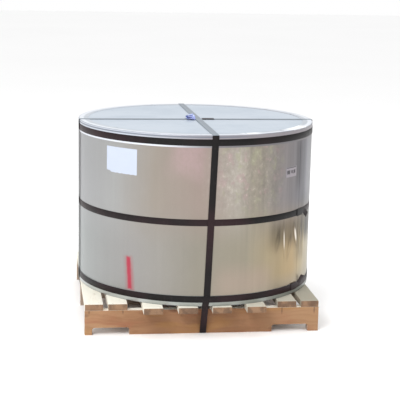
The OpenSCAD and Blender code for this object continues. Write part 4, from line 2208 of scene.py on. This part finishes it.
@dataclass
class Studio:
    """The plain floor, the soft lights and the camera.

    Attributes:
        eye: The camera's place.
        heading: Its heading from +Y towards +X, in degrees.
        pitch: How far it looks down, in degrees.
        roll: Its roll, in degrees.
        lens: Its focal length in millimetres on a sensor 36 mm wide.
        floor_half: Half the width of the floor.
    """

    eye: Point = (-0.8411, -6.3219, 1.8413)
    heading: float = 7.855
    pitch: float = 11.403
    roll: float = 1.197
    lens: float = 112.21
    floor_half: float = 30.0

    def build(self) -> None:
        """Builds the studio."""
        self.add_floor()
        self.add_lights()
        self.add_camera()

    def add_floor(self) -> None:
        """Adds a wide pale floor."""
        mesh = bpy.data.meshes.new("studio_floor")
        half = self.floor_half
        corners = [(-half, -half, 0), (half, -half, 0), (half, half, 0), (-half, half, 0)]
        mesh.from_pydata(corners, [], [(0, 1, 2, 3)])
        floor = add_piece("studio_floor", mesh)
        paint = Surface("studio_floor_paint")
        haze = paint.noise(paint.mapped((0.4, 0.4, 0.4)), 1.0, 2.0)
        colour = paint.blend(srgb(248, 248, 248), srgb(252, 252, 252), haze)
        mesh.materials.append(paint.finish(Base_Color=colour, Roughness=0.9))

    def add_lights(self) -> None:
        """Adds soft surroundings, darker to the right so that metal shows its shape, and three lights."""
        world = bpy.data.worlds.new("studio_air")
        world.use_nodes = True
        kit = NodeKit(world.node_tree)
        ray = kit.add("ShaderNodeLightPath")
        heading = kit.add("ShaderNodeTexCoord")
        axes = kit.add("ShaderNodeSeparateXYZ", None, {0: Value(kit, heading.outputs["Generated"])})
        x, y, z = (Value(kit, axes.outputs[at]) for at in range(3))
        turn = y.maths("ARCTAN2", x) * DEGREES
        level = z.ramp(0.75, 0.25)
        glow = 1.04 - 0.30 * turn.within(-60.0, 100.0, 30.0) * level
        for middle in (-2.0, 26.0, 52.0):
            glow = glow - 0.42 * turn.within(middle - 4.0, middle + 4.0, 4.0) * level
        seen = Value(kit, ray.outputs["Is Camera Ray"])
        strength = seen + (1.0 - seen) * glow
        air = kit.node("ShaderNodeBackground", None, {"Color": (1.0, 1.0, 1.0), "Strength": strength})
        kit.add("ShaderNodeOutputWorld", None, {"Surface": air})
        bpy.context.scene.world = world
        self.add_area("key_light", (-3.2, -4.6, 5.2), (0.0, 0.0, 0.5), 3.0, 270.0)
        self.add_area("top_light", (0.2, 0.6, 5.6), (0.0, 0.0, 0.6), 3.6, 70.0)
        self.add_area("rim_light", (3.6, 3.4, 3.6), (0.0, 0.0, 0.6), 0.9, 40.0)

    @staticmethod
    def add_area(name: str, place: Point, target: Point, size: float, power: float) -> None:
        """Adds a square area light that looks at a target.

        Args:
            name: The light's name.
            place: Its place.
            target: What it looks at.
            size: Its width.
            power: Its power in watts.
        """
        lamp = bpy.data.lights.new(name, "AREA")
        lamp.size = size
        lamp.energy = power
        light = bpy.data.objects.new(name, lamp)
        look = Vector(target) - Vector(place)
        light.location = place
        light.rotation_euler = look.to_track_quat("-Z", "Y").to_euler()
        bpy.context.scene.collection.objects.link(light)

    def add_camera(self) -> None:
        """Adds the camera."""
        yaw, pitch, roll = (math.radians(angle) for angle in (self.heading, self.pitch, self.roll))
        ahead = Vector((math.sin(yaw) * math.cos(pitch), math.cos(yaw) * math.cos(pitch), -math.sin(pitch)))
        right = Vector((math.cos(yaw), -math.sin(yaw), 0.0))
        above = right.cross(ahead)
        right, above = (
            right * math.cos(roll) + above * math.sin(roll),
            above * math.cos(roll) - right * math.sin(roll),
        )
        data = bpy.data.cameras.new("camera")
        data.sensor_width = 36.0
        data.lens = self.lens
        data.clip_end = 200.0
        camera = bpy.data.objects.new("camera", data)
        turn = Matrix((right, above, -ahead)).transposed().to_4x4()
        camera.matrix_world = Matrix.Translation(self.eye) @ turn
        bpy.context.scene.collection.objects.link(camera)
        bpy.context.scene.camera = camera


def main() -> None:
    """Builds the whole scene."""
    logging.basicConfig(level=logging.INFO, format="%(name)s %(message)s")
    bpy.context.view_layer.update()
    bpy.context.scene.view_settings.view_transform = "Standard"
    Studio().build()
    CoilPackage().build()
    Strapping().build()
    tag_height = (corner("small_label", False).z + corner("small_label", True).z) / 2
    tag = (direction("small_label"), tag_height)
    SheetLabel("large_label", Paper("large_label_paper", srgb(182, 190, 206)), 0.006).build()
    SheetLabel("small_label", Paper("small_label_paper", srgb(148, 142, 147), tag), 0.0004).build()
    Pallet().build()


if __name__ == "__main__":
    main()
